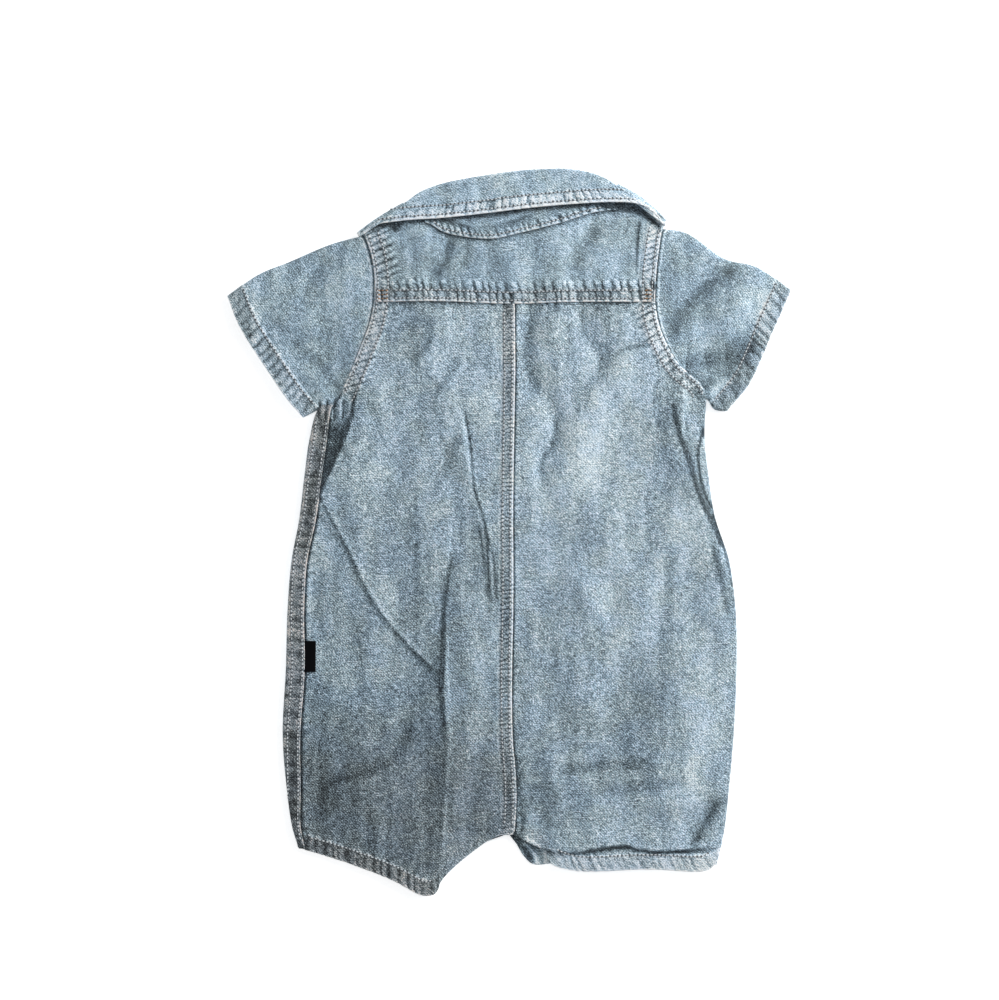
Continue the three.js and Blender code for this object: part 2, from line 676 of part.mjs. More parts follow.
function shoulderFold(row) {
  const top = {
    edge: new THREE.Vector3(row.edgeX, row.edgeY, leafMiddle(row.edgeX, row.edgeY) + row.edgeLift),
    roll: new THREE.Vector3(row.rollX, row.rollY, leafMiddle(row.rollX, row.rollY)),
  };
  const run = new THREE.Vector3(row.rollX - row.edgeX, row.rollY - row.edgeY, 0).normalize();
  const away = new THREE.Vector3(-run.y, run.x, 0);
  if (away.y < 0) away.negate();
  return Array.from({ length: shoulderFacets }, (_, k) => {
    const angle = (Math.PI * (k + 1)) / shoulderFacets;
    const turn = (point) => {
      const radius = (point.z - underMiddle) / 2;
      return new THREE.Vector3(point.x, point.y, underMiddle + radius + radius * Math.cos(angle))
        .addScaledVector(away, radius * Math.sin(angle));
    };
    const outward = away.clone().multiplyScalar(Math.sin(angle)).addScaledVector(up, Math.cos(angle));
    const radius = THREE.MathUtils.lerp(rollRadius, underRollRadius, (k + 1) / shoulderFacets);
    return leafSection(turn(top.edge), turn(top.roll), outward, radius);
  });
}

const down = up.clone().negate();
const pointRows = (rows) => rows.map((row) => leafSection(
  new THREE.Vector3(row.edgeX, row.edgeY, underMiddle),
  new THREE.Vector3(row.rollX, row.rollY, underMiddle),
  down,
  underRollRadius,
));
const topRows = leafSections.map((row) => leafSection(
  new THREE.Vector3(row.edgeX, row.edgeY, leafMiddle(row.edgeX, row.edgeY) + row.edgeLift),
  new THREE.Vector3(row.rollX, row.rollY, leafMiddle(row.rollX, row.rollY)),
  up,
));
const leafGrid = [
  ...pointRows(collarPoints.left).reverse(),
  ...shoulderFold(leafSections[0]).reverse(),
  ...topRows,
  ...shoulderFold(leafSections[leafSections.length - 1]),
  ...pointRows(collarPoints.right),
];
addPiece('collar_leaf', wallGeometry(leafGrid.map((row) => row.reverse()), { wall: collarWall }), 'collar');

// Collar stand: from the neck seam up to where the leaf rolls over it
const rollCurve = curveThrough(leafSections.map(({ rollX, rollY }) => ({ x: rollX, y: rollY })));
const neckCurve = curveThrough(yokeTop);

const standLeftX = -50;
const standRightX = 56;
const neckGap = 0.7;
const rollGap = 3;
const standGrid = Array.from({ length: standCounts.across + 1 }, (_, i) => (
  Array.from({ length: standCounts.along + 1 }, (__, j) => {
    const x = THREE.MathUtils.lerp(standLeftX, standRightX, j / standCounts.along);
    const low = curveYAt(neckCurve, x) + neckGap;
    const high = curveYAt(rollCurve, x) - rollGap;
    const y = THREE.MathUtils.lerp(high, low, i / standCounts.across);
    return new THREE.Vector3(x, y, backMiddle(x, y));
  })
));
addPiece('collar_stand', wallGeometry(standGrid), 'collar');

// Placket down the front, with its snaps let into the side that the garment lies on
const placketGrid = Array.from({ length: placketCounts.down + 1 }, (_, i) => {
  const y = THREE.MathUtils.lerp(placketTopY, placketBottomY, i / placketCounts.down);
  return Array.from({ length: placketCounts.across + 1 }, (__, j) => new THREE.Vector3(
    placketWidth * (j / placketCounts.across - 0.5), y, frontMiddle(0, y),
  ));
});
let placket = toSolid(wallGeometry(placketGrid));
for (let index = 0; index < snapCount; index += 1) {
  const y = snapTopY - index * snapPitch;
  const disc = (radius, bottom, top) => {
    const shape = new THREE.CylinderGeometry(radius, radius, top - bottom, snapFacets);
    shape.rotateX(Math.PI / 2);
    shape.translate(0, y, frontLift(y) + (bottom + top) / 2);
    return shape;
  };
  placket = placket.subtract(toSolid(disc(snapDiameter / 2 + pieceGap, -1, snapRecess)));
  addPiece(`snap_${index + 1}`, disc(snapDiameter / 2, 0, snapHeight), 'snap');
}
addPiece('front_placket', fromSolid(placket), 'body');

// Side tab: a bare folded tape that stands out of the side seam and lies on the back
const tabGrid = [0, 0.5, 1].map((downShare) => [0, 0.5, 1].map((acrossShare) => {
  const x = tabLeftX + tabWidth * acrossShare;
  const y = tabTopY - tabLength * downShare;
  return new THREE.Vector3(x, y, backMiddle(x, y) + clothWall / 2 + pieceGap + tabWall / 2);
}));
addPiece('side_tab', wallGeometry(tabGrid, { wall: tabWall }), 'tab');

const romper = new THREE.Group();
for (const { name, geometry, finish } of pieces) {
  geometry.deleteAttribute('normal');
  geometry.deleteAttribute('uv');
  const shape = mergeVertices(geometry, 1e-4);
  shape.computeVertexNormals();
  const mesh = new THREE.Mesh(shape, new THREE.MeshStandardMaterial(finishes[finish]));
  mesh.name = name;
  romper.add(mesh);
}

export default romper;
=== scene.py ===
# Baby romper of light washed denim, laid flat on its front with its back up, for Blender 4.5.
# Plan sizes are in millimetres: +X to the wearer's right sleeve, +Y to the collar, +Z up.
import math
import bpy
import numpy as np
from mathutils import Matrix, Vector
from mathutils.bvhtree import BVHTree


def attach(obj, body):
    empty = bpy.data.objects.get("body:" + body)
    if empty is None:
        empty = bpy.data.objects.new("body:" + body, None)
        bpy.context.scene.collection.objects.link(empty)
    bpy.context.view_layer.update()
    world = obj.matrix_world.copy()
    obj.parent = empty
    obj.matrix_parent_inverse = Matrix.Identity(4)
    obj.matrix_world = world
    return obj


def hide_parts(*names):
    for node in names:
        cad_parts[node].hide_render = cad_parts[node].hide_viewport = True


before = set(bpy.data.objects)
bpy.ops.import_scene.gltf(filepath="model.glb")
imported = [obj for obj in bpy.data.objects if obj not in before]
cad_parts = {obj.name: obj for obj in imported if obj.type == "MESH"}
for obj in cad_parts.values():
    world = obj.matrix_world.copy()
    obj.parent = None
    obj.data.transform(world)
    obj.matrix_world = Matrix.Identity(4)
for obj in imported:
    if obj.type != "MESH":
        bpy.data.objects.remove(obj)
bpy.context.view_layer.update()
mm = 0.001


# Numbers and curves

def smoothStep(start, end, value):
    share = np.clip((value - start) / (end - start), 0, 1)
    return share * share * (3 - 2 * share)


def ridge(distance, width):
    return np.exp(-(distance / width) ** 2)


def curveThrough(points, perSpan=24):
    # a smooth line through the points, with as many steps in each span
    points = np.asarray(points, float)
    reached = np.vstack([2 * points[0] - points[1], points, 2 * points[-1] - points[-2]])
    runs = []
    for a, b, c, d in zip(reached, reached[1:], reached[2:], reached[3:]):
        gaps = [np.linalg.norm(q - p) ** 0.5 for p, q in ((a, b), (b, c), (c, d))]
        ta, tb, tc, td = np.cumsum([0] + gaps)
        t = np.linspace(tb, tc, perSpan, endpoint=False)[:, None]
        ab = ((tb - t) * a + (t - ta) * b) / (tb - ta)
        bc = ((tc - t) * b + (t - tb) * c) / (tc - tb)
        cd = ((td - t) * c + (t - tc) * d) / (td - tc)
        abc = ((tc - t) * ab + (t - ta) * bc) / (tc - ta)
        bcd = ((td - t) * bc + (t - tb) * cd) / (td - tb)
        runs.append(((tc - t) * abc + (t - tb) * bcd) / (tc - tb))
    return np.vstack(runs + [points[-1:]])


def lengthAlong(curve):
    return np.concatenate([[0], np.cumsum(np.linalg.norm(np.diff(curve, axis=0), axis=1))])


def pointsAt(curve, shares):
    reached = lengthAlong(curve)
    places = np.asarray(shares) * reached[-1]
    return np.stack([np.interp(places, reached, curve[:, k]) for k in range(curve.shape[1])], -1)


def beside(curve, shift):
    # the line that runs beside a curve, to its left as it is walked
    run = np.gradient(curve[:, :2], axis=0)
    run /= np.linalg.norm(run, axis=1)[:, None]
    return curve[:, :2] + shift * np.stack([-run[:, 1], run[:, 0]], -1)


def noise1(place, pitch, seed):
    lattice = np.random.default_rng(seed).uniform(-1, 1, 2048)
    reached = place / pitch + 900
    low = np.floor(reached).astype(int)
    blend = smoothStep(0, 1, reached - low)
    return lattice[low % 2048] * (1 - blend) + lattice[(low + 1) % 2048] * blend


def noise2(x, y, pitch, seed):
    lattice = np.random.default_rng(seed).uniform(-1, 1, (256, 256))
    u, v = x / pitch + 500, y / pitch + 500
    i, j = np.floor(u).astype(int), np.floor(v).astype(int)
    a, b = smoothStep(0, 1, u - i), smoothStep(0, 1, v - j)
    near = lattice[i % 256, j % 256] * (1 - a) + lattice[(i + 1) % 256, j % 256] * a
    far = lattice[i % 256, (j + 1) % 256] * (1 - a) + lattice[(i + 1) % 256, (j + 1) % 256] * a
    return near * (1 - b) + far * b


def nearest(path, x, y):
    # how far the nearest point of a path is, on which side, and how far along
    best = np.full(x.shape, np.inf)
    side, along = np.zeros(x.shape), np.zeros(x.shape)
    for index in range(len(path) - 1):
        start, run = path[index], path[index + 1] - path[index]
        share = np.clip(((x - start[0]) * run[0] + (y - start[1]) * run[1]) / (run @ run), 0, 1)
        offX, offY = x - start[0] - share * run[0], y - start[1] - share * run[1]
        distance = np.hypot(offX, offY)
        closer = distance < best
        best = np.where(closer, distance, best)
        side = np.where(closer, np.sign(run[0] * offY - run[1] * offX), side)
        along = np.where(closer, (index + share) / (len(path) - 1), along)
    return best, side, along


# The romper's own lines, in plan

body = {
    "cloth": 0.7,           # one layer
    "doubled": 0.45,        # how far a felled band stands out
    "frontMiddle": 0.35,
    "backMiddle": 2.3,
    "crown": 0.9,
    "collarLift": 1.8,
    "liftStartY": 50,
    "liftEndY": 128,
    "underarmY": 86,
    "underlap": 4.5,        # how far a piece goes on under its neighbour's band
    "centreBand": 7.2,
    "yokeBand": 7.2,
    "armholeBand": 10.5,
    "hem": 10,
    "sleeveHem": 12,
    "yokeSeamY": 145,
}

# Places down the body: y, outer left edge, left seam, centre seam, outer right edge
bodySections = np.array([
    (145, -85, -85, 3.4, 91.8), (132, -87.6, -87.6, 3.6, 94), (118, -93, -93, 3.7, 99.4),
    (104, -98.6, -98.6, 3.8, 108), (94, -103, -103, 3.8, 120), (86, -107, -107, 3.6, 124.4),
    (78, -120, -112, 3.5, 124.2), (60, -125.8, -114.6, 3.2, 123.6), (36, -129.2, -118, 2.8, 126),
    (8, -132.6, -121.6, 2.5, 130.4), (-18, -137.4, -127.2, 2.7, 138.8),
    (-50, -140, -129.2, 2.6, 143.2), (-86, -141, -128.8, 1.9, 143.8),
    (-128, -143, -131.6, 2.2, 142), (-162, -140.4, -131.4, 4.4, 139),
    (-186, -137, -131.4, 3.6, 136.4), (-199, -133, -128.8, 2, 133.8), (-211, -129, -127, 2, 131),
])
leftLegEdge = [(-128.8, -200.6), (-102.4, -208.5), (-73, -219.6), (-54.5, -228.8), (-46.6, -227.8),
               (-43.4, -221), (-36.3, -213), (-20, -199.6), (-7, -191.4), (2, -190.6)]
rightLegEdge = [(131, -209.8), (125, -213.2), (86, -212.7), (40.3, -213.4), (25.4, -208),
                (24.6, -202.4), (12, -195.4), (3, -190.6)]
rightFrontEdge = [(128, -207), (80, -210), (30, -209.4), (15, -209.8), (9.2, -204.6),
                  (4.6, -197), (0.4, -191.4)]
yokeTop = [(-91, 187.6), (-72, 195.6), (-51, 195), (-41, 189.4), (-12.2, 185.2), (5.7, 188.6),
           (30, 194.6), (57, 202.4), (78, 202.6), (96.4, 191.4)]
yokeBottom = [(-85, 145), (-40, 145.3), (0, 143.9), (40, 145), (91.8, 145.2)]
armholeTops = {
    "left": [(-91, 187.6), (-86.6, 174), (-84.6, 160), (-85, 145)],
    "right": [(96.4, 191.4), (94, 176), (92.4, 160), (91.8, 145)],
}
# Places along the collar leaf: roll x and y, edge x and y, how far its edge lifts
leafSections = np.array([
    (-65, 204.6, -94.4, 185.9, 0), (-58, 211.8, -86, 192.4, 0.1), (-46, 217.6, -68, 195.6, 0.2),
    (-28, 221.8, -42, 197.4, 0.2), (-6, 225.2, -14, 200.4, 0.3), (18, 227.8, 14, 203.8, 0.3),
    (38, 228, 42, 206.2, 0.5), (53, 225, 66, 207.2, 1.2), (61, 221.6, 80, 206.2, 1.6),
    (65, 219, 91, 201.6, 1.3), (67, 216.6, 98, 192.6, 0.5),
])
columnNumbers = {"leftEdge": 1, "leftSeam": 2, "middle": 3, "rightEdge": 4}
sectionCurves = {name: curveThrough(bodySections[:, [number, 0]])
                 for name, number in columnNumbers.items()}


def columnAt(name, y):
    curve = sectionCurves[name][::-1]
    return np.interp(y, curve[:, 1], curve[:, 0])


def columnLine(name, fromY, toY, count=60, shift=0.0):
    y = np.linspace(fromY, toY, count)
    return np.stack([columnAt(name, y) + shift, y], -1)


# Folds and creases: height, reach to the left and right as walked, then the path
folds = [
    (2.3, 26, 2.2, (-98, 78), (-104, 58), (-109, 42), (-117, 25), (-122, 8)),
    (2.2, 2.4, 26, (110, 92), (108.6, 70), (109.6, 54), (121, 19.5), (130, -2), (138, -28)),
    (1.5, 2.0, 20, (-38, -16), (-40.4, -40), (-40, -84), (-37.8, -120), (-40, -165), (-44.6, -222)),
    (0.8, 9, 1.8, (-122, 19), (-101, -13), (-84, -47), (-64, -71), (-46, -88)),
    (0.9, 1.8, 8, (-30, 72), (-27, 50), (-20, 22), (-14, 4), (-11, -24), (-10, -50)),
    (-0.75, 9, 9, (-58, -124), (-75, -147), (-98, -155), (-118, -178)),
    (1.9, 12, 1.8, (18, -197.6), (38, -200.6), (57, -198), (73, -196.2), (82.5, -198.6), (95, -200),
     (132, -197.6)),
    (-0.8, 8, 8, (136, -168), (121, -182), (108, -199)),
    (-0.8, 6, 8, (-30, 184), (-41, 169), (-52, 155)),
    (-0.7, 7, 7, (50, 192), (43, 174), (39, 156)),
    (-0.8, 7, 9, (17, 137), (12, 108), (22, 80), (20, 40)),
    (-0.8, 8, 8, (146, 167), (118, 142), (104, 129)),
    (-0.7, 7, 9, (-122, 160), (-116, 128), (-104, 104)),
]
smallCreases = [
    (1.3, 12, 16, (-50, 141), (-48, 128), (-51, 116), (-60, 106)),
    (-0.6, 5, 5, (45, 181), (36, 172), (30, 163)),
    (-0.6, 3, 4, (80, 192), (78, 179), (76, 166)),
    (0.7, 5, 6, (-62, 193), (-52, 182), (-48, 172)),
    (0.9, 9, 7, (-26, 116), (-34, 104), (-44, 92)),
    (0.7, 5, 6, (-42, 82), (-26, 80), (-8, 81)),
    (0.8, 8, 8, (27, 132), (30, 112), (32, 96)),
    (1.2, 16, 13, (92, 116), (66, 96), (50, 72), (44, 40), (40, 10)),
    (-0.9, 5, 4, (26, 82), (30, 70), (28, 56), (21, 45), (22, 27)),
    (-0.6, 3, 3, (-19, 4), (-15, -22), (-13, -52)),
    (0.7, 5, 4, (-28, 64), (-37, 42), (-47, 22)),
    (-0.5, 5, 5, (-72, 46), (-68, 36), (-72, 20)),
    (0.9, 8, 10, (-70, -112), (-92, -136), (-120, -144)),
    (-0.6, 5, 5, (-68, -170), (-74, -186), (-78, -204)),
    (0.7, 6, 5, (-56, -160), (-60, -182), (-62, -206)),
    (-0.5, 4, 4, (-118, -20), (-122, -50), (-112, -84)),
    (1.7, 24, 20, (108, -62), (107, -96), (110, -130), (106, -160)),
    (0.8, 7, 6, (88, -172), (112, -170), (136, -162)),
    (-0.6, 6, 6, (118, -50), (121, -64), (117, -82)),
    (-0.5, 7, 7, (90, -4), (84, -18), (96, -34)),
    (0.6, 7, 6, (36, -16), (52, -48), (34, -76)),
    (-0.5, 5, 5, (60, -22), (66, -48), (56, -86)),
    (-0.5, 6, 6, (24, -112), (46, -122), (78, -118)),
    (1.2, 9, 8, (152, 146), (132, 134), (110, 122)),
    (0.8, 6, 6, (148, 104), (132, 98), (118, 100)),
    (0.7, 7, 6, (-136, 160), (-126, 140), (-118, 122)),
    (0.6, 4, 4, (-142, 108), (-126, 96), (-112, 82)),
    (0.7, 1.3, 1.3, (-117, 82), (-118, 72)),
    (0.8, 1.3, 1.3, (-112, 83), (-113, 71)),
    (0.8, 1.3, 1.3, (-106, 84), (-106.5, 72)),
    (-0.6, 5, 4, (-150, 132), (-138, 124), (-122, 120)),
]

# Painted shade along the folds, where they close over themselves and where they turn from the light,
# and painted highlights where they face it
paintedFoldShading = [
    (-0.55, 0.9, 1.6, (-97, 86), (-99, 72), (-105, 56), (-113, 38), (-120, 22)),
    (-0.26, 1.0, 10, (-98, 82), (-101, 68), (-107, 52), (-116, 34)),
    (-0.6, 0.9, 0.9, (-119, 82), (-120, 72)),
    (-0.6, 0.9, 0.9, (-114.5, 83), (-115.5, 71)),
    (-0.6, 0.9, 0.9, (-109.4, 84), (-110.2, 70.5)),
    (-0.5, 0.9, 0.9, (-104.6, 84), (-105, 71)),
    (0.35, 1.0, 1.0, (-101, 86), (-100, 80), (-101, 74), (-106, 70)),
    (0.2, 6, 6, (-118, 77), (-104, 77)),
    (-0.4, 5, 3, (-118, 66), (-109, 58), (-116, 44)),
    (0.12, 12, 14, (122, -70), (124, -100), (122, -132), (114, -168)),
    (-0.07, 16, 16, (84, -92), (82, -125), (74, -160)),
    (-0.2, 4, 4, (134, -166), (126, -182), (118, -196)),
    (-0.5, 3, 3, (6, -193), (12, -200), (16, -205)),
    (0.3, 1.2, 1.2, (10, -193), (18, -197), (23, -204)),
    (-0.34, 0.9, 1.4, (-119, 22), (-101, -13), (-84, -47), (-64, -71), (-46, -88)),
    (0.13, 1.6, 1.0, (-117, 23), (-99, -12), (-82, -46), (-62, -70), (-44, -87)),
    (-0.55, 1.1, 1.6, (-36, -16), (-39, -34), (-41, -56), (-41.4, -77), (-42.4, -98), (-40.3, -123)),
    (-0.2, 0.8, 12, (-40, -70), (-42, -100), (-40, -130), (-41, -160), (-43, -205)),
    (-0.6, 1.8, 1.0, (103, 80), (106, 65), (112, 48), (120, 22), (129, 3), (133, -8)),
    (-0.16, 12, 2, (105, 76), (109, 58), (118, 28), (128, 4)),
    (-0.3, 1.6, 1.8, (128, -8), (134, -30), (137, -50)),
    (-0.5, 0.8, 0.8, (127, 80), (122.5, 64), (119.2, 51), (120, 38), (122, 28), (127, 16)),
    (0.2, 2.2, 1.0, (129, 78), (124.5, 63), (121.4, 51), (122.2, 38), (124.4, 28), (129, 16)),
    (-0.16, 10, 6, (98, 84), (100, 62), (104, 44), (112, 20)),
    (-0.2, 1.5, 6, (-49, 139), (-48, 128), (-50, 118), (-58, 108)),
    (-0.1, 4, 16, (-60, 138), (-62, 124), (-66, 110)),
    (-0.18, 2.5, 2.5, (-31, 111), (-37, 99), (-45, 88)),
    (-0.2, 2.5, 2, (30, 72), (28, 56), (21, 45), (22, 27)),
    (-0.42, 0.9, 1.1, (-27.7, 76), (-24.5, 57), (-21.4, 26), (-15, 5.6), (-13, -20), (-12, -44)),
    (0.14, 1.0, 1.0, (-29.2, 74), (-26, 56), (-23, 26), (-16.8, 5), (-14.6, -20), (-13.4, -42)),
    (-0.35, 0.9, 0.9, (-14, 0), (-10, -16), (-8, -44)),
    (-0.3, 0.9, 0.9, (-19, 4), (-15, -22), (-14, -40)),
    (-0.14, 2, 3, (-30, 60), (-38, 40), (-46, 24)),
    (-0.3, 1.2, 1.6, (18, -199.4), (38, -202.2), (57, -199.7), (73, -197.8), (82.5, -200.3),
     (95, -201.6), (130, -199.4)),
    (-0.4, 1.2, 2.0, (50, -200.4), (62, -199), (76, -198)),
    (-0.35, 1.0, 1.6, (90, -201.4), (104, -201), (114, -200)),
    (0.08, 14, 16, (90, 110), (62, 84), (48, 56), (44, 20)),
    (0.12, 8, 8, (166, 152), (144, 132), (122, 114)),
    (-0.3, 3, 3, (154, 118), (148, 112), (144, 104)),
    (0.25, 3, 3, (140, 96), (132, 92), (127, 86)),
    (-0.16, 6, 6, (104, 106), (114, 96), (123, 86)),
]
# Creases with their painted shade: height and its two reaches, shade and its two reaches, path
shadedCreases = [
    (-1.0, 4, 5, -0.22, 2.5, 3.5, (-36, 183), (-40, 172), (-46, 160)),
    (-0.6, 4, 4, -0.12, 2.5, 3, (-24, 182), (-27, 174), (-29, 166)),
    (-0.9, 7, 6, -0.14, 5, 4, (55, 192), (47, 180), (40, 163)),
    (-1.1, 5, 6, -0.2, 4, 3, (15, 138), (12, 120), (13, 102), (19, 88)),
    (-0.9, 7, 6, -0.14, 4, 3, (45, 140), (49, 124), (58, 110), (56, 98), (44, 86)),
    (-0.7, 3, 3, -0.16, 1.5, 1.8, (67, 112), (76, 116), (86, 118)),
    (-0.5, 4, 4, -0.12, 4, 3, (-88, 82), (-84, 70), (-89, 52), (-93, 40)),
    (-0.8, 5, 6, -0.13, 2.6, 4, (-62, -122), (-75, -145), (-95, -154), (-114, -160), (-118, -178)),
    (-0.8, 4, 5, -0.14, 3, 4, (34, -150), (56, -148), (84, -146)),
    (-0.7, 4, 5, -0.1, 3, 4, (58, -163), (80, -161), (102, -158)),
    (-0.9, 5, 5, -0.14, 3, 3, (132, -170), (125, -180), (118, -196)),
    (-0.8, 4, 3, -0.25, 2, 1.5, (5, -142), (7, -166), (9, -188)),
    (-1.5, 7, 9, -0.26, 6, 5, (142, 166), (126, 155), (110, 138), (103, 124)),
    (-1.0, 6, 7, -0.14, 5, 6, (150, 119), (126, 108), (106, 105)),
    (-0.8, 6, 6, -0.1, 3, 3, (-104, 178), (-122, 160), (-130, 141)),
    (-0.7, 4, 5, -0.1, 2, 2, (-136, 120), (-120, 106), (-105, 88)),
]
smallCreases += [(*row[:3], *row[6:]) for row in shadedCreases]
paintedFoldShading += [row[3:] for row in shadedCreases]


# Painted shadow in the gap under the edge of the collar leaf where it stands off the yoke
leafGapShadows = [
    (-1.0, 1.5, 2.2, (58, 205), (66, 204.8), (74, 204), (82, 202), (89, 198), (95, 193.4)),
    (-0.7, 1.5, 1.5, (-92, 189.5), (-86, 192), (-78, 193.6), (-68, 194.2)),
    (-0.7, 2.2, 2.2, (-72, 193), (-70.5, 190.5)),
    (-0.35, 1.1, 1.1, (-66, 195), (-42, 196.4), (-14, 199.4), (14, 202.8), (42, 205), (60, 206)),
]


def insideBox(line, reach, x, y):
    low, high = line.min(0) - reach, line.max(0) + reach
    return (x > low[0]) & (x < high[0]) & (y > low[1]) & (y < high[1])


def foldRise(x, y, rows):
    total = np.zeros(x.shape)
    for height, leftReach, rightReach, *path in rows:
        line = curveThrough(path, 5)
        near = insideBox(line, 2.8 * max(leftReach, rightReach), x, y)
        if not near.any():
            continue
        distance, side, along = nearest(line, x[near], y[near])
        flank = np.where(side > 0, leftReach, rightReach)
        fade = smoothStep(-0.12, 0.12, along) * smoothStep(-0.12, 0.12, 1 - along)
        total[near] += height * fade * ridge(distance, flank)
    return total


def frontLift(y):
    return body["collarLift"] * smoothStep(body["liftStartY"], body["liftEndY"], y)


def ripples(x, y):
    # the soft unevenness of washed cloth that was never pressed
    return (0.75 * noise2(x + 0.1 * y, 0.5 * y, 19, 3) + 0.45 * noise2(x - 0.3 * y, 0.6 * y, 10, 4)
            + 0.15 * noise2(x, y, 5.5, 5))


def backMiddle(x, y, withRipples=True):
    left, right = columnAt("leftEdge", y), columnAt("rightEdge", y)
    share = np.clip((x - left) / (right - left), 0, 1)
    crown = body["crown"] * (1 - (2 * share - 1) ** 6)
    raised = np.maximum(0, crown + foldRise(x, y, folds))
    small = 1.35 * foldRise(x, y, smallCreases)
    inside = smoothStep(0, 9, x - left) * smoothStep(0, 9, right - x)
    loose = inside * (small + (ripples(x, y) if withRipples else 0))
    return frontLift(y) + body["backMiddle"] + raised + loose


# Panels between four edges

def stationShare(index, length, startBand, endBand, counts):
    # the share along a line of a grid that is finer in the bands at its two ends
    startCount, panelCount, endCount = counts
    first, last = startBand / length, 1 - endBand / length
    inStart = index / max(startCount, 1) * first
    inPanel = first + (index - startCount) / panelCount * (last - first)
    inEnd = last + (index - startCount - panelCount) / max(endCount, 1) * (1 - last)
    beyond = index > startCount + panelCount
    return np.where(index < startCount, inStart, np.where(beyond, inEnd, inPanel))


def patchPoints(edges, across, down):
    top, bottom = pointsAt(edges["top"], across), pointsAt(edges["bottom"], across)
    left, right = pointsAt(edges["left"], down), pointsAt(edges["right"], down)
    u, v = across[..., None], down[..., None]
    corners = ((1 - v) * ((1 - u) * edges["top"][0] + u * edges["top"][-1])
               + v * ((1 - u) * edges["bottom"][0] + u * edges["bottom"][-1]))
    return (1 - v) * top + v * bottom + (1 - u) * left + u * right - corners


def distanceBetween(edges, fromShares, toShares):
    return np.linalg.norm(patchPoints(edges, *fromShares) - patchPoints(edges, *toShares), axis=-1)


def panelGrid(edges, bands, step):
    # rows run down and columns to the right, with the distance of each point from three edges
    left, right, bottom = bands["left"], bands["right"], bands["bottom"]
    tall = max(lengthAlong(edges["left"])[-1], lengthAlong(edges["right"])[-1])
    wide = max(lengthAlong(edges["top"])[-1], lengthAlong(edges["bottom"])[-1])
    acrossCounts = (round(left / step["band"]), round((wide - left - right) / step["across"]),
                    round(right / step["band"]))
    downCounts = (0, round((tall - bottom) / step["down"]), round(bottom / step["band"]))
    acrossCounts = (acrossCounts[0], acrossCounts[1] + sum(acrossCounts) % 2, acrossCounts[2])
    downCounts = (downCounts[0], downCounts[1] + sum(downCounts) % 2, downCounts[2])
    rowNumber = np.arange(sum(downCounts) + 1, dtype=float)[:, None]
    columnNumber = np.arange(sum(acrossCounts) + 1, dtype=float)[None, :]
    nominal = stationShare(rowNumber, tall, 0, bottom, downCounts)
    width = np.linalg.norm(pointsAt(edges["left"], nominal) - pointsAt(edges["right"], nominal),
                           axis=-1)
    across = stationShare(columnNumber, width, left, right, acrossCounts)
    zero = np.zeros(across.shape)
    length = distanceBetween(edges, (across, zero), (across, zero + 1))
    down = stationShare(rowNumber, length, 0, bottom, downCounts)
    points = patchPoints(edges, across, down)
    return {
        "x": points[..., 0], "y": points[..., 1],
        "fromLeft": across * width, "fromRight": (1 - across) * width,
        "fromBottom": (1 - down) * length,
    }


def band(distance, width, rise):
    return rise * (1 - smoothStep(width - 0.4, width + 0.5, distance))


def puckers(along, away, width, seed, pitch, slant, reach):
    # gathers where a seam has shrunk in the wash: ridges across its band that die out in the panel
    place = along + slant * away + 0.35 * noise1(away, 2.2, seed + 7)
    phase = 2 * math.pi * place / pitch + 2.6 * noise1(place, 7.0, seed)
    valley = (0.5 - 0.5 * np.cos(phase)) ** 2.2 * (0.75 + 0.35 * noise1(place, 5.0, seed + 3))
    ridges = 0.55 - 1.75 * valley + 0.35 * noise1(place + 1.7 * away, 1.5, seed + 1)
    strength = 0.72 + 0.28 * noise1(along, 17, seed + 2)
    return ridges * strength * (1 - smoothStep(width, width + reach, away))


def shadeUnder(line, x, y, reach, amount):
    # painted soft shade beside an edge that lies over the cloth
    near = insideBox(line, 3 * reach, x, y)
    shade = np.zeros(x.shape)
    shade[near] = -amount * ridge(nearest(line, x[near], y[near])[0], reach)
    return shade


# What lies along the edges of a piece comes from tables. A row names the distance that it is
# measured on and, where it ends in a word, the part of the piece that it keeps to.

def partOf(places, limits):
    return places[limits[0]] if limits else 1


def linesOn(places, rows):
    # bright lines, where a fold has lost its dye, and dark ones: how far in, how wide, how strong
    # most of the dark lines are painted shade beside edges that lie over the cloth
    return sum(amount * ridge(places[name] - inset, width) * partOf(places, limits)
               for name, inset, width, amount, *limits in rows)


def bandsOn(places, rows):
    # whole bands: how wide and how strong
    return sum(band(places[name], width, amount) * partOf(places, limits)
               for name, width, amount, *limits in rows)


def gathersOn(places, rows):
    # gathers along seams, as relief and as tone: partly wear, partly painted shade
    relief, shade = 0, 0
    for raised, shaded, along, away, inset, width, seed, pitch, slant, reach, *limits in rows:
        ridges = puckers(places[along], places[away] - inset, width, seed, pitch, slant, reach)
        ridges = ridges * partOf(places, limits)
        relief, shade = relief + raised * ridges, shade + shaded * ridges
    return relief, shade


def cavity(z, passes):
    # how far each point stands over the mean of its neighbours
    # as tone, this lightens ridges and darkens hollows: partly wear, partly painted shade
    blurred = z.copy()
    for _ in range(passes):
        padded = np.pad(blurred, 1, mode="edge")
        blurred = (padded[:-2, 1:-1] + padded[2:, 1:-1] + padded[1:-1, :-2] + padded[1:-1, 2:]
                   + 2 * blurred) / 6
    return z - blurred
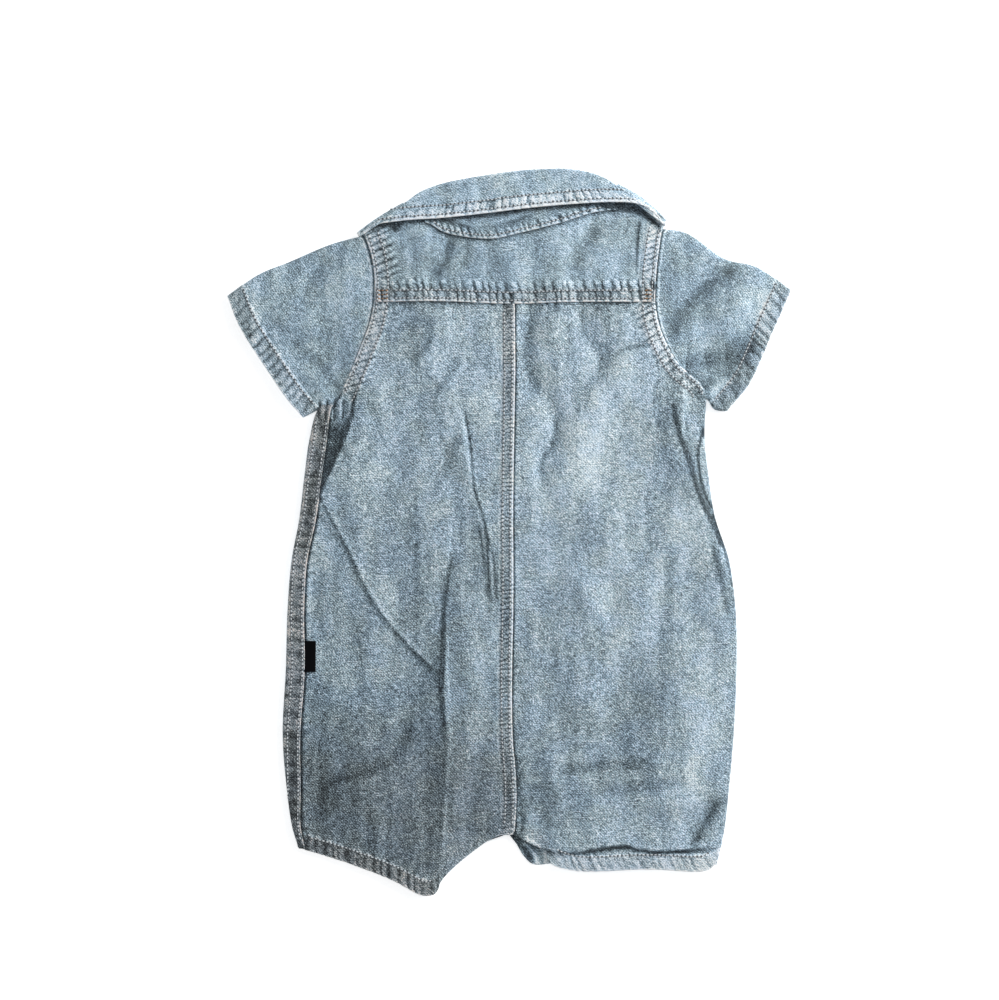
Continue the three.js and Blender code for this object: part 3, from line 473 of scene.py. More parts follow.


# The low left leg is darkest, painted shade where the light falls off
# Lighter and darker patches, partly wash, partly painted shade and light: x, y, radius, amount
washAndShadePatches = [
    (-100, -176, 70, -0.295), (-60, -60, 60, -0.05), (-110, 30, 110, -0.02),
    (-125, 10, 38, -0.08), (90, 70, 80, 0.05), (60, -40, 50, 0.04), (40, -150, 60, -0.08),
    (-150, 90, 30, -0.03), (-10, 100, 60, 0.02), (-142, 132, 44, 0.05), (124, -60, 34, -0.04),
    (57, -41, 16, -0.07), (-52, 172, 24, -0.03), (40, 174, 34, 0.04),
    (142, 106, 24, -0.16), (4, -165, 22, -0.1), (140, -120, 40, -0.05),
]
# The broad painted shades and highlights show on the front as well
softShades = [row for row in paintedFoldShading if min(row[1:3]) >= 2.5]


def washAndShadeTone(x, y, shades=paintedFoldShading):
    # wash streaks, the patches, and the painted shade and highlights along the folds
    tone = np.zeros(x.shape)
    for patchX, patchY, radius, amount in washAndShadePatches:
        tone += amount * np.exp(-((x - patchX) ** 2 + (y - patchY) ** 2) / radius ** 2)
    tone += foldRise(x, y, shades)
    streaks = 0.07 * noise2(x + 0.08 * y, 0.25 * y, 10, 31) + 0.09 * noise2(x, 0.2 * y, 4.2, 32)
    return tone + np.minimum(streaks + 0.03 * noise2(x - 0.4 * y, 0.6 * y, 26, 33), 0.1)


# Meshes

def shellFaces(rows, columns, wrapped):
    # the inner side of the cloth has every second point of the outer one
    outer = np.arange(rows * columns).reshape(rows, columns)
    innerRows, innerColumns = (rows + 1) // 2, columns // 2 if wrapped else (columns + 1) // 2
    inner = np.arange(innerRows * innerColumns).reshape(innerRows, innerColumns) + rows * columns
    if wrapped:
        outer, inner = np.hstack([outer, outer[:, :1]]), np.hstack([inner, inner[:, :1]])
    faces = np.stack([outer[:-1, :-1], outer[1:, :-1], outer[1:, 1:], outer[:-1, 1:]], -1)
    faces = faces.reshape(-1, 4).tolist()
    under = np.stack([inner[:-1, :-1], inner[:-1, 1:], inner[1:, 1:], inner[1:, :-1]], -1)
    faces += under.reshape(-1, 4).tolist()
    rims = [(outer[0], inner[0]), (outer[-1, ::-1], inner[-1, ::-1])]
    if not wrapped:
        rims += [(outer[::-1, 0], inner[::-1, 0]), (outer[:, -1], inner[:, -1])]
    for top, low in rims:
        faces += np.stack([top[:-2:2], top[1:-1:2], top[2::2], low[1:], low[:-1]], -1).tolist()
    return faces


def shellPoints(grid, outside, inside, wrapped):
    padded = np.concatenate([grid[:, -1:], grid, grid[:, :1]], axis=1) if wrapped else grid
    along = np.gradient(padded, axis=1)
    along = along[:, 1:-1] if wrapped else along
    normal = np.cross(np.gradient(grid, axis=0), along)
    normal /= np.maximum(np.linalg.norm(normal, axis=-1), 1e-9)[..., None]
    return grid + normal * outside[..., None], grid - normal * inside[..., None]


clothTops = []      # the outer faces, for the stitches to lie on


def makeObject(name, points, faces, material, values=None):
    mesh = bpy.data.meshes.new(name)
    mesh.from_pydata((points * mm).tolist(), [], faces)
    for attribute, numbers in (values or {}).items():
        layer = mesh.attributes.new(attribute, "FLOAT", "POINT")
        layer.data.foreach_set("value", numbers.astype(np.float32))
    mesh.shade_smooth()
    mesh.materials.append(material)
    piece = bpy.data.objects.new(name, mesh)
    bpy.context.scene.collection.objects.link(piece)
    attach(piece, "root")
    return piece


def clothPiece(name, shells, material, node):
    # a shell holds its grid and, where they aren't the usual ones, its rise, tone and so on
    points, faces, start = [], [], 0
    values = {"tone": [], "rosy": []}
    for shell in shells:
        grid, wrapped = shell["grid"], shell.get("wrapped", False)
        full = np.ones(grid.shape[:2])
        half = shell.get("half", body["cloth"] / 2) * full
        outer, inner = shellPoints(grid, half + shell.get("rise", 0) * full, half, wrapped)
        clothTops.append(outer)
        inner = inner[::2, ::2]
        points += [outer.reshape(-1, 3), inner.reshape(-1, 3)]
        faces += [[start + corner for corner in face]
                  for face in shellFaces(*grid.shape[:2], wrapped)]
        for attribute, usual in (("tone", 0.5), ("rosy", 0)):
            numbers = np.clip(shell.get(attribute, usual) * full, 0, 1)
            values[attribute] += [numbers.ravel(), numbers[::2, ::2].ravel()]
        start += outer.size // 3 + inner.size // 3
    values = {attribute: np.concatenate(parts) for attribute, parts in values.items()}
    piece = makeObject(name, np.vstack(points), faces, material, values)
    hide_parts(node)


# Materials

def linearColour(hexColour):
    parts = [int(hexColour[k:k + 2], 16) / 255 for k in (1, 3, 5)]
    return [p / 12.92 if p <= 0.04045 else ((p + 0.055) / 1.055) ** 2.4 for p in parts] + [1]


def addNode(tree, kind, inputs=None, links=None, output=0, **settings):
    # gives the output of the new node that the next one needs
    node = tree.nodes.new(kind)
    for name, value in settings.items():
        setattr(node, name, value)
    for socket, value in (inputs or {}).items():
        node.inputs[socket].default_value = value
    for socket, source in (links or {}).items():
        tree.links.new(source, node.inputs[socket])
    return node.outputs[output] if node.outputs else None


def addRamp(tree, source, colours):
    ramp = tree.nodes.new("ShaderNodeValToRGB")
    tree.links.new(source, ramp.inputs["Fac"])
    stops = ramp.color_ramp.elements
    while len(stops) < len(colours):
        stops.new(0.5)
    for stop, (position, colour) in zip(stops, colours):
        stop.position = position
        stop.color = linearColour(colour)
    return ramp.outputs[0]


def startMaterial(name):
    material = bpy.data.materials.new(name)
    material.use_nodes = True
    tree = material.node_tree
    tree.nodes.clear()
    return material, tree, addNode(tree, "ShaderNodeTexCoord", output="Object")


def addRelief(tree, height, strength, depth):
    return addNode(tree, "ShaderNodeBump", {"Strength": strength, "Distance": depth * mm},
                   {"Height": height})


def finishMaterial(tree, inputs, links=None):
    shader = addNode(tree, "ShaderNodeBsdfPrincipled", inputs, links)
    addNode(tree, "ShaderNodeOutputMaterial", links={"Surface": shader})


# Patterns of the cloth: how long and wide its marks are in mm, their angle, and how strong.
denimPatterns = [
    {"size": (1.1, 0.38), "angle": -45, "detail": 0.0, "from": (0.3, 0.7), "to": (-0.16, 0.16)},
    {"size": (0.34, 0.34), "angle": 0, "detail": 0.0, "from": (0.25, 0.75), "to": (-0.2, 0.2)},
    {"size": (3.4, 0.36), "angle": 2, "detail": 0.0, "from": (0.3, 0.7), "to": (-0.12, 0.12)},
    {"size": (0.4, 3.6), "angle": 1, "detail": 0.0, "from": (0.3, 0.7), "to": (-0.1, 0.1)},
    {"size": (9, 0.5), "angle": 1.5, "detail": 0.0, "from": (0.64, 0.76), "to": (0, 0.2)},
    {"size": (0.5, 8.0), "angle": 1, "detail": 0.0, "from": (0.66, 0.78), "to": (0, 0.14)},
    {"size": (9, 7), "angle": 20, "detail": 2.0, "from": (0.3, 0.7), "to": (-0.03, 0.03)},
]
# Lines of the weave: spacing in mm, angle, how much they waver, and how strong. The twill has
# a line every 0.6 mm and they are drawn twice as far apart, so that they show.
denimLines = [
    {"spacing": 1.3, "angle": -45, "waver": 5.0, "to": (-0.17, 0.17)},
    {"spacing": 1.35, "angle": 46, "waver": 6.0, "to": (-0.08, 0.08)},
    {"spacing": 1.26, "angle": 1, "waver": 7.0, "to": (-0.09, 0.09)},
]
denimColours = [
    (0.0, "#171f25"), (0.07, "#455056"), (0.15, "#566269"), (0.38, "#67767e"), (0.5, "#859ca9"),
    (0.62, "#a6c0cf"), (0.79, "#cde1ed"), (0.97, "#f5fafd"),
]
washTints = [(0.38, "#fdfcf9"), (0.62, "#f7faff")]


def addMarks(tree, level, place, angle, sizes, kind, inputs, reach, settings=None):
    # turns and stretches the place, draws a pattern there and adds it to the level
    (fromLow, fromHigh), (toLow, toHigh) = reach
    spread = addNode(tree, "ShaderNodeMapping",
                     {"Rotation": (0, 0, math.radians(angle)), "Scale": sizes},
                     {"Vector": place}, vector_type="TEXTURE")
    marks = addNode(tree, kind, {"Scale": 1.0, **inputs}, {"Vector": spread}, "Fac",
                    **(settings or {}))
    strength = addNode(tree, "ShaderNodeMapRange",
                       {"From Min": fromLow, "From Max": fromHigh, "To Min": toLow, "To Max": toHigh},
                       {"Value": marks})
    return addNode(tree, "ShaderNodeMath", links={0: level, 1: strength}, operation="ADD")


def washedDenim(name, turn, fine):
    # cotton twill, stone washed and softened: matt and mottled, pale dashes across the blue
    material, tree, place = startMaterial(name)
    level = addNode(tree, "ShaderNodeAttribute", output="Fac", attribute_name="tone")
    rosy = addNode(tree, "ShaderNodeAttribute", output="Fac", attribute_name="rosy")
    for pattern in denimPatterns:
        long, wide = (size * mm for size in pattern["size"])
        level = addMarks(tree, level, place, pattern["angle"] + turn, (long, wide, wide),
                         "ShaderNodeTexNoise", {"Detail": pattern["detail"], "Roughness": 0.6},
                         (pattern["from"], [fine * end for end in pattern["to"]]))
    for lines in denimLines:
        level = addMarks(tree, level, place, lines["angle"] + turn,
                         [lines["spacing"] * 10 / math.pi * mm] * 3, "ShaderNodeTexWave",
                         {"Distortion": lines["waver"], "Detail": 1.0, "Detail Scale": 2.2},
                         ((0.0, 1.0), [fine * end for end in lines["to"]]),
                         {"wave_type": "BANDS", "bands_direction": "Y"})
    clouds = addNode(tree, "ShaderNodeTexNoise",
                     {"Scale": 1 / (16 * mm), "Detail": 1.0, "Roughness": 0.5}, {"Vector": place})
    tinted = addNode(tree, "ShaderNodeMix", {0: 1.0},
                     {6: addRamp(tree, level, denimColours), 7: addRamp(tree, clouds, washTints)},
                     2, data_type="RGBA", blend_type="MULTIPLY")
    blush = addNode(tree, "ShaderNodeMix", {7: linearColour("#efdcd2")}, {0: rosy, 6: tinted},
                    2, data_type="RGBA", blend_type="MULTIPLY")
    finishMaterial(tree, {"Roughness": 0.9, "Specular IOR Level": 0.22, "Sheen Weight": 0.16,
                          "Sheen Roughness": 0.55, "Sheen Tint": linearColour("#dfe6ec")},
                   {"Base Color": blush, "Normal": addRelief(tree, level, 0.4, 0.25)})
    return material


def spunThread(name, dark, light):
    # spun polyester thread: finely twisted, with painted shade where each stitch dips into its hole
    material, tree, place = startMaterial(name)
    twist = addNode(tree, "ShaderNodeTexNoise", {"Scale": 1 / (0.5 * mm), "Detail": 2.0},
                    {"Vector": place})
    holeShade = addNode(tree, "ShaderNodeAttribute", output="Fac", attribute_name="holeShade")
    spun = addRamp(tree, twist, [(0.35, dark), (0.65, light)])
    # the holes and the ends of the stitches are mixed towards a painted shade colour
    colour = addNode(tree, "ShaderNodeMix", {7: linearColour("#1f2a33")}, {0: holeShade, 6: spun}, 2,
                     data_type="RGBA")
    finishMaterial(tree, {"Roughness": 0.65, "Specular IOR Level": 0.35, "Sheen Weight": 0.1},
                   {"Base Color": colour, "Normal": addRelief(tree, twist, 0.4, 0.08)})
    return material


def wovenTape(name):
    # black polyester tape in a fine plain weave: ribs 0.5 mm apart with a slight satin lustre
    material, tree, place = startMaterial(name)
    ribs = addNode(tree, "ShaderNodeTexWave",
                   {"Scale": math.pi / 10 / (0.5 * mm), "Distortion": 1.2, "Detail": 2.0},
                   {"Vector": place}, wave_type="BANDS", bands_direction="Y")
    colour = addRamp(tree, ribs, [(0.0, "#020203"), (1.0, "#07070a")])
    finishMaterial(tree, {"Roughness": 0.6, "Specular IOR Level": 0.06},
                   {"Base Color": colour, "Normal": addRelief(tree, ribs, 0.5, 0.1)})
    return material


def brushedSteel(name):
    # pressed steel caps, brushed and nickel plated: fine rings of scratches, a soft highlight
    material, tree, place = startMaterial(name)
    scratches = addNode(tree, "ShaderNodeTexNoise", {"Scale": 1 / (0.4 * mm), "Detail": 4.0},
                        {"Vector": place})
    gloss = addNode(tree, "ShaderNodeMapRange", {"To Min": 0.26, "To Max": 0.42},
                    {"Value": scratches})
    colour = addRamp(tree, scratches, [(0.0, "#b4b6b8"), (1.0, "#cfd1d3")])
    finishMaterial(tree, {"Metallic": 1.0}, {"Base Color": colour, "Roughness": gloss})
    return material


bodyDenim = washedDenim("washedDenimBody", 0, 1.05)
yokeDenim = washedDenim("washedDenimYoke", 3, 0.8)
sleeveDenim = washedDenim("washedDenimSleeve", -8, 0.85)
collarDenim = washedDenim("washedDenimCollar", 6, 0.8)
paleThread = spunThread("spunThreadPale", "#a9b3ba", "#eef2f4")
tanThread = spunThread("spunThreadTan", "#8a6448", "#c79a6d")
blackTape = wovenTape("wovenTapeBlack")
capSteel = brushedSteel("brushedSteelCap")
print("materials made")


def trimX(line, low, high):
    return line[(line[:, 0] >= low) & (line[:, 0] <= high)]


# Backs: the left half has the band of the centre seam, and the right one goes under it. The
# gathers of a piece have the columns relief, shade, along, away, inset, width, seed, pitch, slant,
# reach. The cut is the width, length and area of the flat piece.

fineStep = {"band": 0.64, "across": 0.98, "down": 0.85}
back = {
    "topY": body["yokeSeamY"] + body["underlap"],
    "sideEndY": -199,
    "middleEndY": -189,
    "seamRelief": 0.3,
    "underDrop": 0.85,
}
leftBack = {
    "cut": (142, 385, 46400),
    "seam": "leftSeam",
    "underSeam": (1.8, -0.2),
    "underPart": "belowArmhole",
    "hemX": (-40, -52),
    "yokeSeed": 15,
    "gathers": [
        (1, 0.32, "y", "fromRight", 0, body["centreBand"], 11, 2.7, 0.2, 1.5),
        (1, 0.384, "y", "fromLeft", 0, 10, 12, 4.0, -0.4, 4, "armhole"),
        (1, 0.352, "x", "fromBottom", 0, body["hem"], 13, 5.2, 0.05, 4, "hem"),
        (0.7, 0.1, "y", "fromLeft", 4, 1, 14, 5.5, -0.7, 7, "belowArmhole"),
    ],
    "rise": [
        ("fromRight", body["centreBand"], body["doubled"]),
        ("fromLeft", body["armholeBand"], 0.35, "armhole"),
        ("fromBottom", body["hem"], 0.35, "hem"),
    ],
    "bandTones": [("fromBottom", body["hem"], -0.04, "hem")],
    # The dark lines at the seam and just under the yoke are painted shade beside the edges that lie
    # over the panel
    "lines": [
        ("fromRight", 0, 0.9, 0.45), ("fromRight", 8, 0.6, 0.2), ("fromRight", 3.7, 2.4, -0.14),
        ("fromLeft", 0, 0.9, 0.45, "armhole"), ("fromBottom", 0, 0.8, 0.4),
        ("fromBottom", 10.6, 0.8, 0.2, "hem"), ("fromSeam", 0.7, 0.9, -0.5, "belowArmhole"),
        ("y", 143.6, 0.9, -0.3),
    ],
    "rosy": [
        ("fromRight", body["centreBand"], 1.0, "higherUp"), ("fromLeft", 10, 0.4, "armhole"),
        ("fromBottom", body["hem"], 0.5, "hem"),
    ],
}


def backShell(edges, bands, details):
    places = panelGrid(edges, bands, fineStep)
    x, y = places["x"], places["y"]
    armhole = smoothStep(84, 92, y)
    places.update({
        "armhole": armhole, "belowArmhole": 1 - armhole, "hem": smoothStep(*details["hemX"], x),
        "fromSeam": x - columnAt(details["seam"], y),
        "higherUp": 0.25 + 0.35 * smoothStep(60, 120, y), "whole": 1,
    })
    relief, shade = gathersOn(places, details["gathers"])
    gathered = smoothStep(136, 144, y) * noise1(x + 0.2 * y, 2.2, details["yokeSeed"])
    under = smoothStep(*details["underSeam"], places["fromSeam"]) * places[details["underPart"]]
    under = np.maximum(under, smoothStep(143, 145.2, y))
    z = backMiddle(x, y) + back["seamRelief"] * (relief + 0.8 * gathered)
    z = z - back["underDrop"] * under
    # gathers and cavity as tone: lighter ridges and darker hollows, partly wear, partly painted shade
    tone = 0.5 + washAndShadeTone(x, y) + shade + 0.14 * gathered + 0.35 * cavity(z, 8)
    tone += linesOn(places, details["lines"]) + bandsOn(places, details["bandTones"])
    # the tone is darker just under the yoke edge: painted shade
    return {"grid": np.stack([x, y, z], -1), "rise": bandsOn(places, details["rise"]),
            "tone": tone - 0.08 * smoothStep(134, 143, y),
            "rosy": bandsOn(places, details["rosy"])}


def middleLine(shift, end):
    y = np.linspace(back["topY"], back["middleEndY"], 70)
    line = np.stack([columnAt("middle", np.minimum(y, body["yokeSeamY"])) - shift, y], -1)
    return np.vstack([line, end])


def makeLeftBack():
    sideY = np.linspace(back["topY"], back["sideEndY"], 70)
    tucked = -body["underlap"] * smoothStep(84, 74, sideY)
    sideX = columnAt("leftSeam", np.minimum(sideY, body["yokeSeamY"])) + tucked
    side, middle = np.stack([sideX, sideY], -1), middleLine(0, leftLegEdge[-1])
    edges = {"left": side, "right": middle, "top": np.array([side[0], middle[0]]),
             "bottom": curveThrough([side[-1], *leftLegEdge[1:]])}
    shell = backShell(edges, {"left": 11, "right": 9, "bottom": 11}, leftBack)
    # the low end of the leg is greyer: painted shade
    shell["rosy"] = shell["rosy"] + 0.4 * (1 - smoothStep(-160, -100, shell["grid"][..., 1]))
    clothPiece("back_left_cloth", [shell], bodyDenim, "back_panel_left")


makeLeftBack()

# The right half turns round the side to the front

rightBack = {
    "cut": (166, 375, 51800),
    "seam": "middle",
    "underSeam": (1.6, -0.3),
    "underPart": "whole",
    "hemX": (20, 28),
    "yokeSeed": 25,
    "gathers": [
        (1, 0.384, "y", "fromRight", 0, 10, 22, 3.8, 0.5, 4, "armhole"),
        (1, 0.224, "x", "fromBottom", 0, body["hem"], 23, 5.6, 0.5, 3, "hem"),
        (0.7, 0.1, "y", "fromLeft", 5, 1, 24, 4.2, -0.5, 6),
    ],
    "rise": [
        ("fromRight", body["armholeBand"], 0.35, "armhole"),
        ("fromBottom", body["hem"], 0.35, "hem"),
    ],
    "bandTones": [("fromBottom", body["hem"], 0.1, "hem")],
    # The dark lines at the seam and just under the yoke are painted shade beside the edges that lie
    # over the panel
    "lines": [
        ("fromRight", 0, 0.8, 0.32, "armhole"), ("fromBottom", 0, 0.8, 0.4),
        ("fromBottom", 10.2, 0.6, 0.25, "hem"), ("fromSeam", 0.6, 0.8, -0.5),
        ("y", 143.6, 0.9, -0.3),
    ],
    "rosy": [("fromRight", 10, 0.3, "armhole"), ("fromBottom", body["hem"], 0.25)],
    "foldRadius": 0.4,      # at the armhole, where the edge is only folded under
    "inward": 1.5,
    "turnFacets": 8,
    "tail": (9.0, 4.0),     # how far the cloth runs on below, at the side and at the armhole
    "tailShares": (0.15, 0.4, 0.7, 1.0),
    "armholeStart": (83, 93),
    "lowCorner": (3, 0.4),  # how far its lowest point lies from that of the left half
}


def sideTurnRadius(x, y):
    flat = (backMiddle(x, y, False) - frontLift(y) - body["frontMiddle"]) / 2
    return flat + (rightBack["foldRadius"] - flat) * smoothStep(*rightBack["armholeStart"], y)


def makeRightBack():
    sideY = np.append(np.linspace(back["topY"], back["sideEndY"], 70), rightLegEdge[0][1])
    outside = columnAt("rightEdge", np.minimum(sideY, body["yokeSeamY"]))
    radius = sideTurnRadius(outside - rightBack["inward"], sideY)
    side = np.stack([outside - radius - body["cloth"] / 2, sideY], -1)
    cornerX, cornerY = rightBack["lowCorner"]
    middle = middleLine(5, (rightLegEdge[-1][0] - cornerX, rightLegEdge[-1][1] + cornerY))
    bottom = curveThrough([side[-1], *rightLegEdge[1:]])[::-1]
    edges = {"left": middle, "right": side, "top": np.array([middle[0], side[0]]),
             "bottom": np.vstack([middle[-1:], bottom])}
    shell = backShell(edges, {"left": 9, "right": 11, "bottom": 11}, rightBack)
    # round the side
    edgeX, edgeY, edgeZ = shell["grid"][:, -1].T
    radius = sideTurnRadius(edgeX, edgeY)
    longTail, shortTail = rightBack["tail"]
    tail = longTail + (shortTail - longTail) * smoothStep(*rightBack["armholeStart"], edgeY)
    extra = edgeZ - backMiddle(edgeX - rightBack["inward"], edgeY, False)
    columns = []
    for step in range(1, rightBack["turnFacets"] + 1):
        share = step / rightBack["turnFacets"]
        angle = math.pi * (0.5 - share)
        level = edgeZ - radius + radius * math.sin(angle) - share * extra
        columns.append(np.stack([edgeX + radius * math.cos(angle), edgeY, level], -1))
    for share in rightBack["tailShares"]:
        columns.append(np.stack([edgeX - share * tail, edgeY, edgeZ - 2 * radius - extra], -1))
    shell["grid"] = np.concatenate([shell["grid"], np.stack(columns, axis=1)], axis=1)
    for name, fade in (("tone", 1), ("rosy", 1), ("rise", np.linspace(0.8, 0, len(columns)))):
        turned = shell[name][:, -1:] * fade * np.ones(len(columns))
        shell[name] = np.hstack([shell[name], turned])
    clothPiece("back_right_cloth", [shell], bodyDenim, "back_panel_right")


makeRightBack()
print("back panels made")

# Yoke: its lower edge is the felled yoke seam, over the tops of the back panels

yoke = {
    "cut": (196, 62, 9700),
    "seamRelief": 0.42,
    "underStand": 3.5,
    "step": {"band": 0.62, "across": 0.65, "down": 0.9},
    "gathers": [
        (0.85, 0.4, "x", "fromBottom", 0, 30, 41, 5.2, 0.1, 4, "lowerHalf"),
        (0.85, 0.4, "shiftedX", "fromBottom", 0, 12, 44, 5.4, 0.2, 3, "upperHalf"),
        (1.08, 0.48, "y", "fromLeft", 0, 13, 42, 4.2, -0.4, 4, "aboveSeam"),
        (0.72, 0.32, "y", "fromRight", 0, 8, 43, 4.0, 0.5, 3, "aboveSeam"),
    ],
    "rise": [
        ("fromBottom", body["yokeBand"], body["doubled"]),
        ("fromLeft", body["armholeBand"], 0.35), ("fromRight", body["armholeBand"], 0.35),
    ],
    "lines": [
        ("fromBottom", 0, 0.95, 0.55), ("fromBottom", 6.6, 0.45, -0.3),
        ("fromLeft", 0, 0.9, 0.5), ("fromRight", 0, 0.9, 0.5),
    ],
    "rosy": [("fromBottom", 9, 0.35), ("fromLeft", 12, 0.35), ("fromRight", 8, 0.35)],
    "shades": [
        # a dark line at the inner edge of the right armhole band, painted shade, and a lighter strip
        # beside it
        (-0.4, 0.9, 0.9, (82.5, 196), (81, 180), (80.4, 163)),
        (0.14, 4, 4, (89, 194), (86, 178), (85, 164)),
    ],
}


def makeYoke():
    top = np.array(yokeTop, float)
    top[1:-1, 1] += yoke["underStand"]
    edges = {"left": curveThrough(armholeTops["left"]), "right": curveThrough(armholeTops["right"]),
             "top": curveThrough(top), "bottom": curveThrough(yokeBottom)}
    places = panelGrid(edges, {"left": 11, "right": 11, "bottom": 12}, yoke["step"])
    x, y, fromLow = places["x"], places["y"], places["fromBottom"]
    places.update({"shiftedX": x + 0.8, "lowerHalf": smoothStep(7.6, 6.6, fromLow),
                   "upperHalf": smoothStep(6.6, 7.6, fromLow),
                   "aboveSeam": smoothStep(13, 17, fromLow)})
    relief, shade = gathersOn(places, yoke["gathers"])
    z = backMiddle(x, y) + yoke["seamRelief"] * relief
    # gathers and cavity as tone: lighter ridges and darker hollows, partly wear, partly painted shade
    tone = 0.5 + washAndShadeTone(x, y) + shade + 0.3 * cavity(z, 8) - band(fromLow, 11, 0.12)
    # painted shadow in the gap under the collar leaf, below the stand's lower edge and below the
    # leaf's edge, and painted shade at the right armhole band
    tone += foldRise(x, y, leafGapShadows) + foldRise(x, y, yoke["shades"])
    tone += shadeUnder(trimX(curveThrough(yokeTop), -52, 66), x, y, 2.0, 0.45)
    tone += shadeUnder(curveThrough(leafSections[:, 2:4], 8), x, y, 3.5, 0.2)
    clothPiece("yoke_cloth", [{
        "grid": np.stack([x, y, z], -1), "tone": tone + linesOn(places, yoke["lines"]),
        "rise": np.minimum(bandsOn(places, yoke["rise"]), body["doubled"] + 0.1),
        "rosy": bandsOn(places, yoke["rosy"]),
    }], yokeDenim, "back_yoke")


makeYoke()
print("yoke made")

# Front panels, on the surface; the left one turns round the side and carries the felled seam

front = {
    "leftCut": (162, 405, 50200),
    "rightCut": (142, 405, 44200),
    "step": {"band": 1.0, "across": 2.2, "down": 2.2},
    "placketSide": 8.5,
    "overlapRise": 0.78,
    "neckY": 160,
    "bottomY": -182,
}
sideBand = {
    "topY": 80,
    "bottomY": -199.5,
    "rows": 310,
    "columns": 18,
    "facets": 8,
    "over": 0.72,           # middle of the band over the middle of the back
    "tail": 9,
    "tailShares": (1.0, 0.7, 0.4, 0.15),
    "lines": [("fromSeam", 0, 0.7, 0.4), ("fromSeam", 9.3, 0.6, 0.2),
              ("fromSeam", 4.8, 1.6, -0.12)],
}
# Painted shade and highlights where the end of the front hem shows in the crotch
crotchShades = [
    (-0.7, 3.4, 3.4, (0, -188), (7, -194), (12, -200), (15, -207)),
    (-0.5, 1.4, 1.4, (8, -190), (15, -195), (21, -200)),
    (0.9, 1.3, 1.3, (7, -195), (12, -199), (16, -204), (18, -210)),
    (0.6, 1.3, 1.3, (22, -199), (23.5, -204), (23.5, -210)),
]


def frontEdges(side, sidePoints, corner, crotch, bottomPoints):
    sign = -1 if side == "left" else 1
    inner = sign * front["placketSide"]
    sideLine = curveThrough([*sidePoints, corner])
    innerLine = curveThrough([(inner, front["neckY"]), (inner, 0), (inner, front["bottomY"]),
                              crotch], 30)
    topLine = curveThrough([armholeTops[side][0], (sign * 60, 188), (sign * 34, 172),
                            (inner, front["neckY"])])
    bottomLine = curveThrough([corner, *bottomPoints, crotch])
    if side == "left":
        return {"left": sideLine, "right": innerLine, "top": topLine, "bottom": bottomLine}
    return {"left": innerLine, "right": sideLine, "top": topLine[::-1], "bottom": bottomLine[::-1]}


def frontShell(edges, side):
    places = panelGrid(edges, {"left": 8, "right": 8, "bottom": 12}, front["step"])
    x, y = places["x"], places["y"]
    toSide, toMiddle = places["fromLeft"], places["fromRight"]
    if side == "right":
        toSide, toMiddle = toMiddle, toSide
    lapped = 1 - smoothStep(3.5, 7, toMiddle)
    seam = (1 - smoothStep(4, 8, toSide)) * smoothStep(92, 84, y)
    z = frontLift(y) + body["frontMiddle"] + front["overlapRise"] * np.maximum(lapped, seam)
    places["hem"] = smoothStep(26, 34, np.abs(x))
    atHem = puckers(x, places["fromBottom"], body["hem"], 33, 6.0, 0.1, 3)
    tone = 0.5 + washAndShadeTone(-x, y, softShades) + 0.28 * places["hem"] * atHem
    tone += linesOn(places, [("fromBottom", body["hem"], 0.8, 0.3, "hem")])
    if side == "right":
        tone += foldRise(x, y, crotchShades)
    return {"grid": np.stack([x, y, z], -1), "tone": tone}


def bandShell():
    # the side band: from below, round the edge, and on over the back as far as the seam
    y = np.linspace(sideBand["topY"], sideBand["bottomY"], sideBand["rows"] + 1)
    outside, seam = columnAt("leftEdge", y), columnAt("leftSeam", y)
    lower = frontLift(y) + body["frontMiddle"]
    upper = backMiddle(outside + 3, y, False) + sideBand["over"]
    radius = (upper - lower) / 2
    edge = outside + radius + body["cloth"] / 2 + 0.1
    columns = [np.stack([edge + share * sideBand["tail"], y, lower], -1)
               for share in sideBand["tailShares"]]
    for step in range(sideBand["facets"] + 1):
        angle = -math.pi / 2 - math.pi * step / sideBand["facets"]
        columns.append(np.stack([edge + radius * math.cos(angle), y,
                                 lower + radius + radius * math.sin(angle)], -1))
    reach = [seam - edge] * len(columns)
    for step in range(1, sideBand["columns"] + 1):
        share = step / sideBand["columns"]
        x = edge + (seam - edge) * share
        blend = smoothStep(0, 0.35, share)
        onBack = backMiddle(x, y, False) + sideBand["over"]
        columns.append(np.stack([x, y, (1 - blend) * upper + blend * onBack], -1))
        reach.append((seam - edge) * (1 - share))
    grid, fromSeam = np.stack(columns, axis=1), np.stack(reach, axis=1)
    down = np.repeat(y[:, None], fromSeam.shape[1], axis=1)
    onTop = smoothStep(1.5, 3.0, grid[..., 2])
    relief = puckers(down, fromSeam, 14, 51, 8.4, -0.1, 3) * onTop
    grid[..., 2] += 0.3 * relief
    blotches = 0.12 * noise2(grid[..., 0], down, 3.2, 52)
    # puckers as tone: lighter ridges and darker valleys, partly wear, partly painted shade
    tone = 0.48 + washAndShadeTone(grid[..., 0], down) + 0.24 * relief
    tone += (blotches + linesOn({"fromSeam": fromSeam}, sideBand["lines"])) * onTop
    return {"grid": grid, "rise": 0.15 * onTop, "tone": tone, "rosy": 0.9 * onTop}


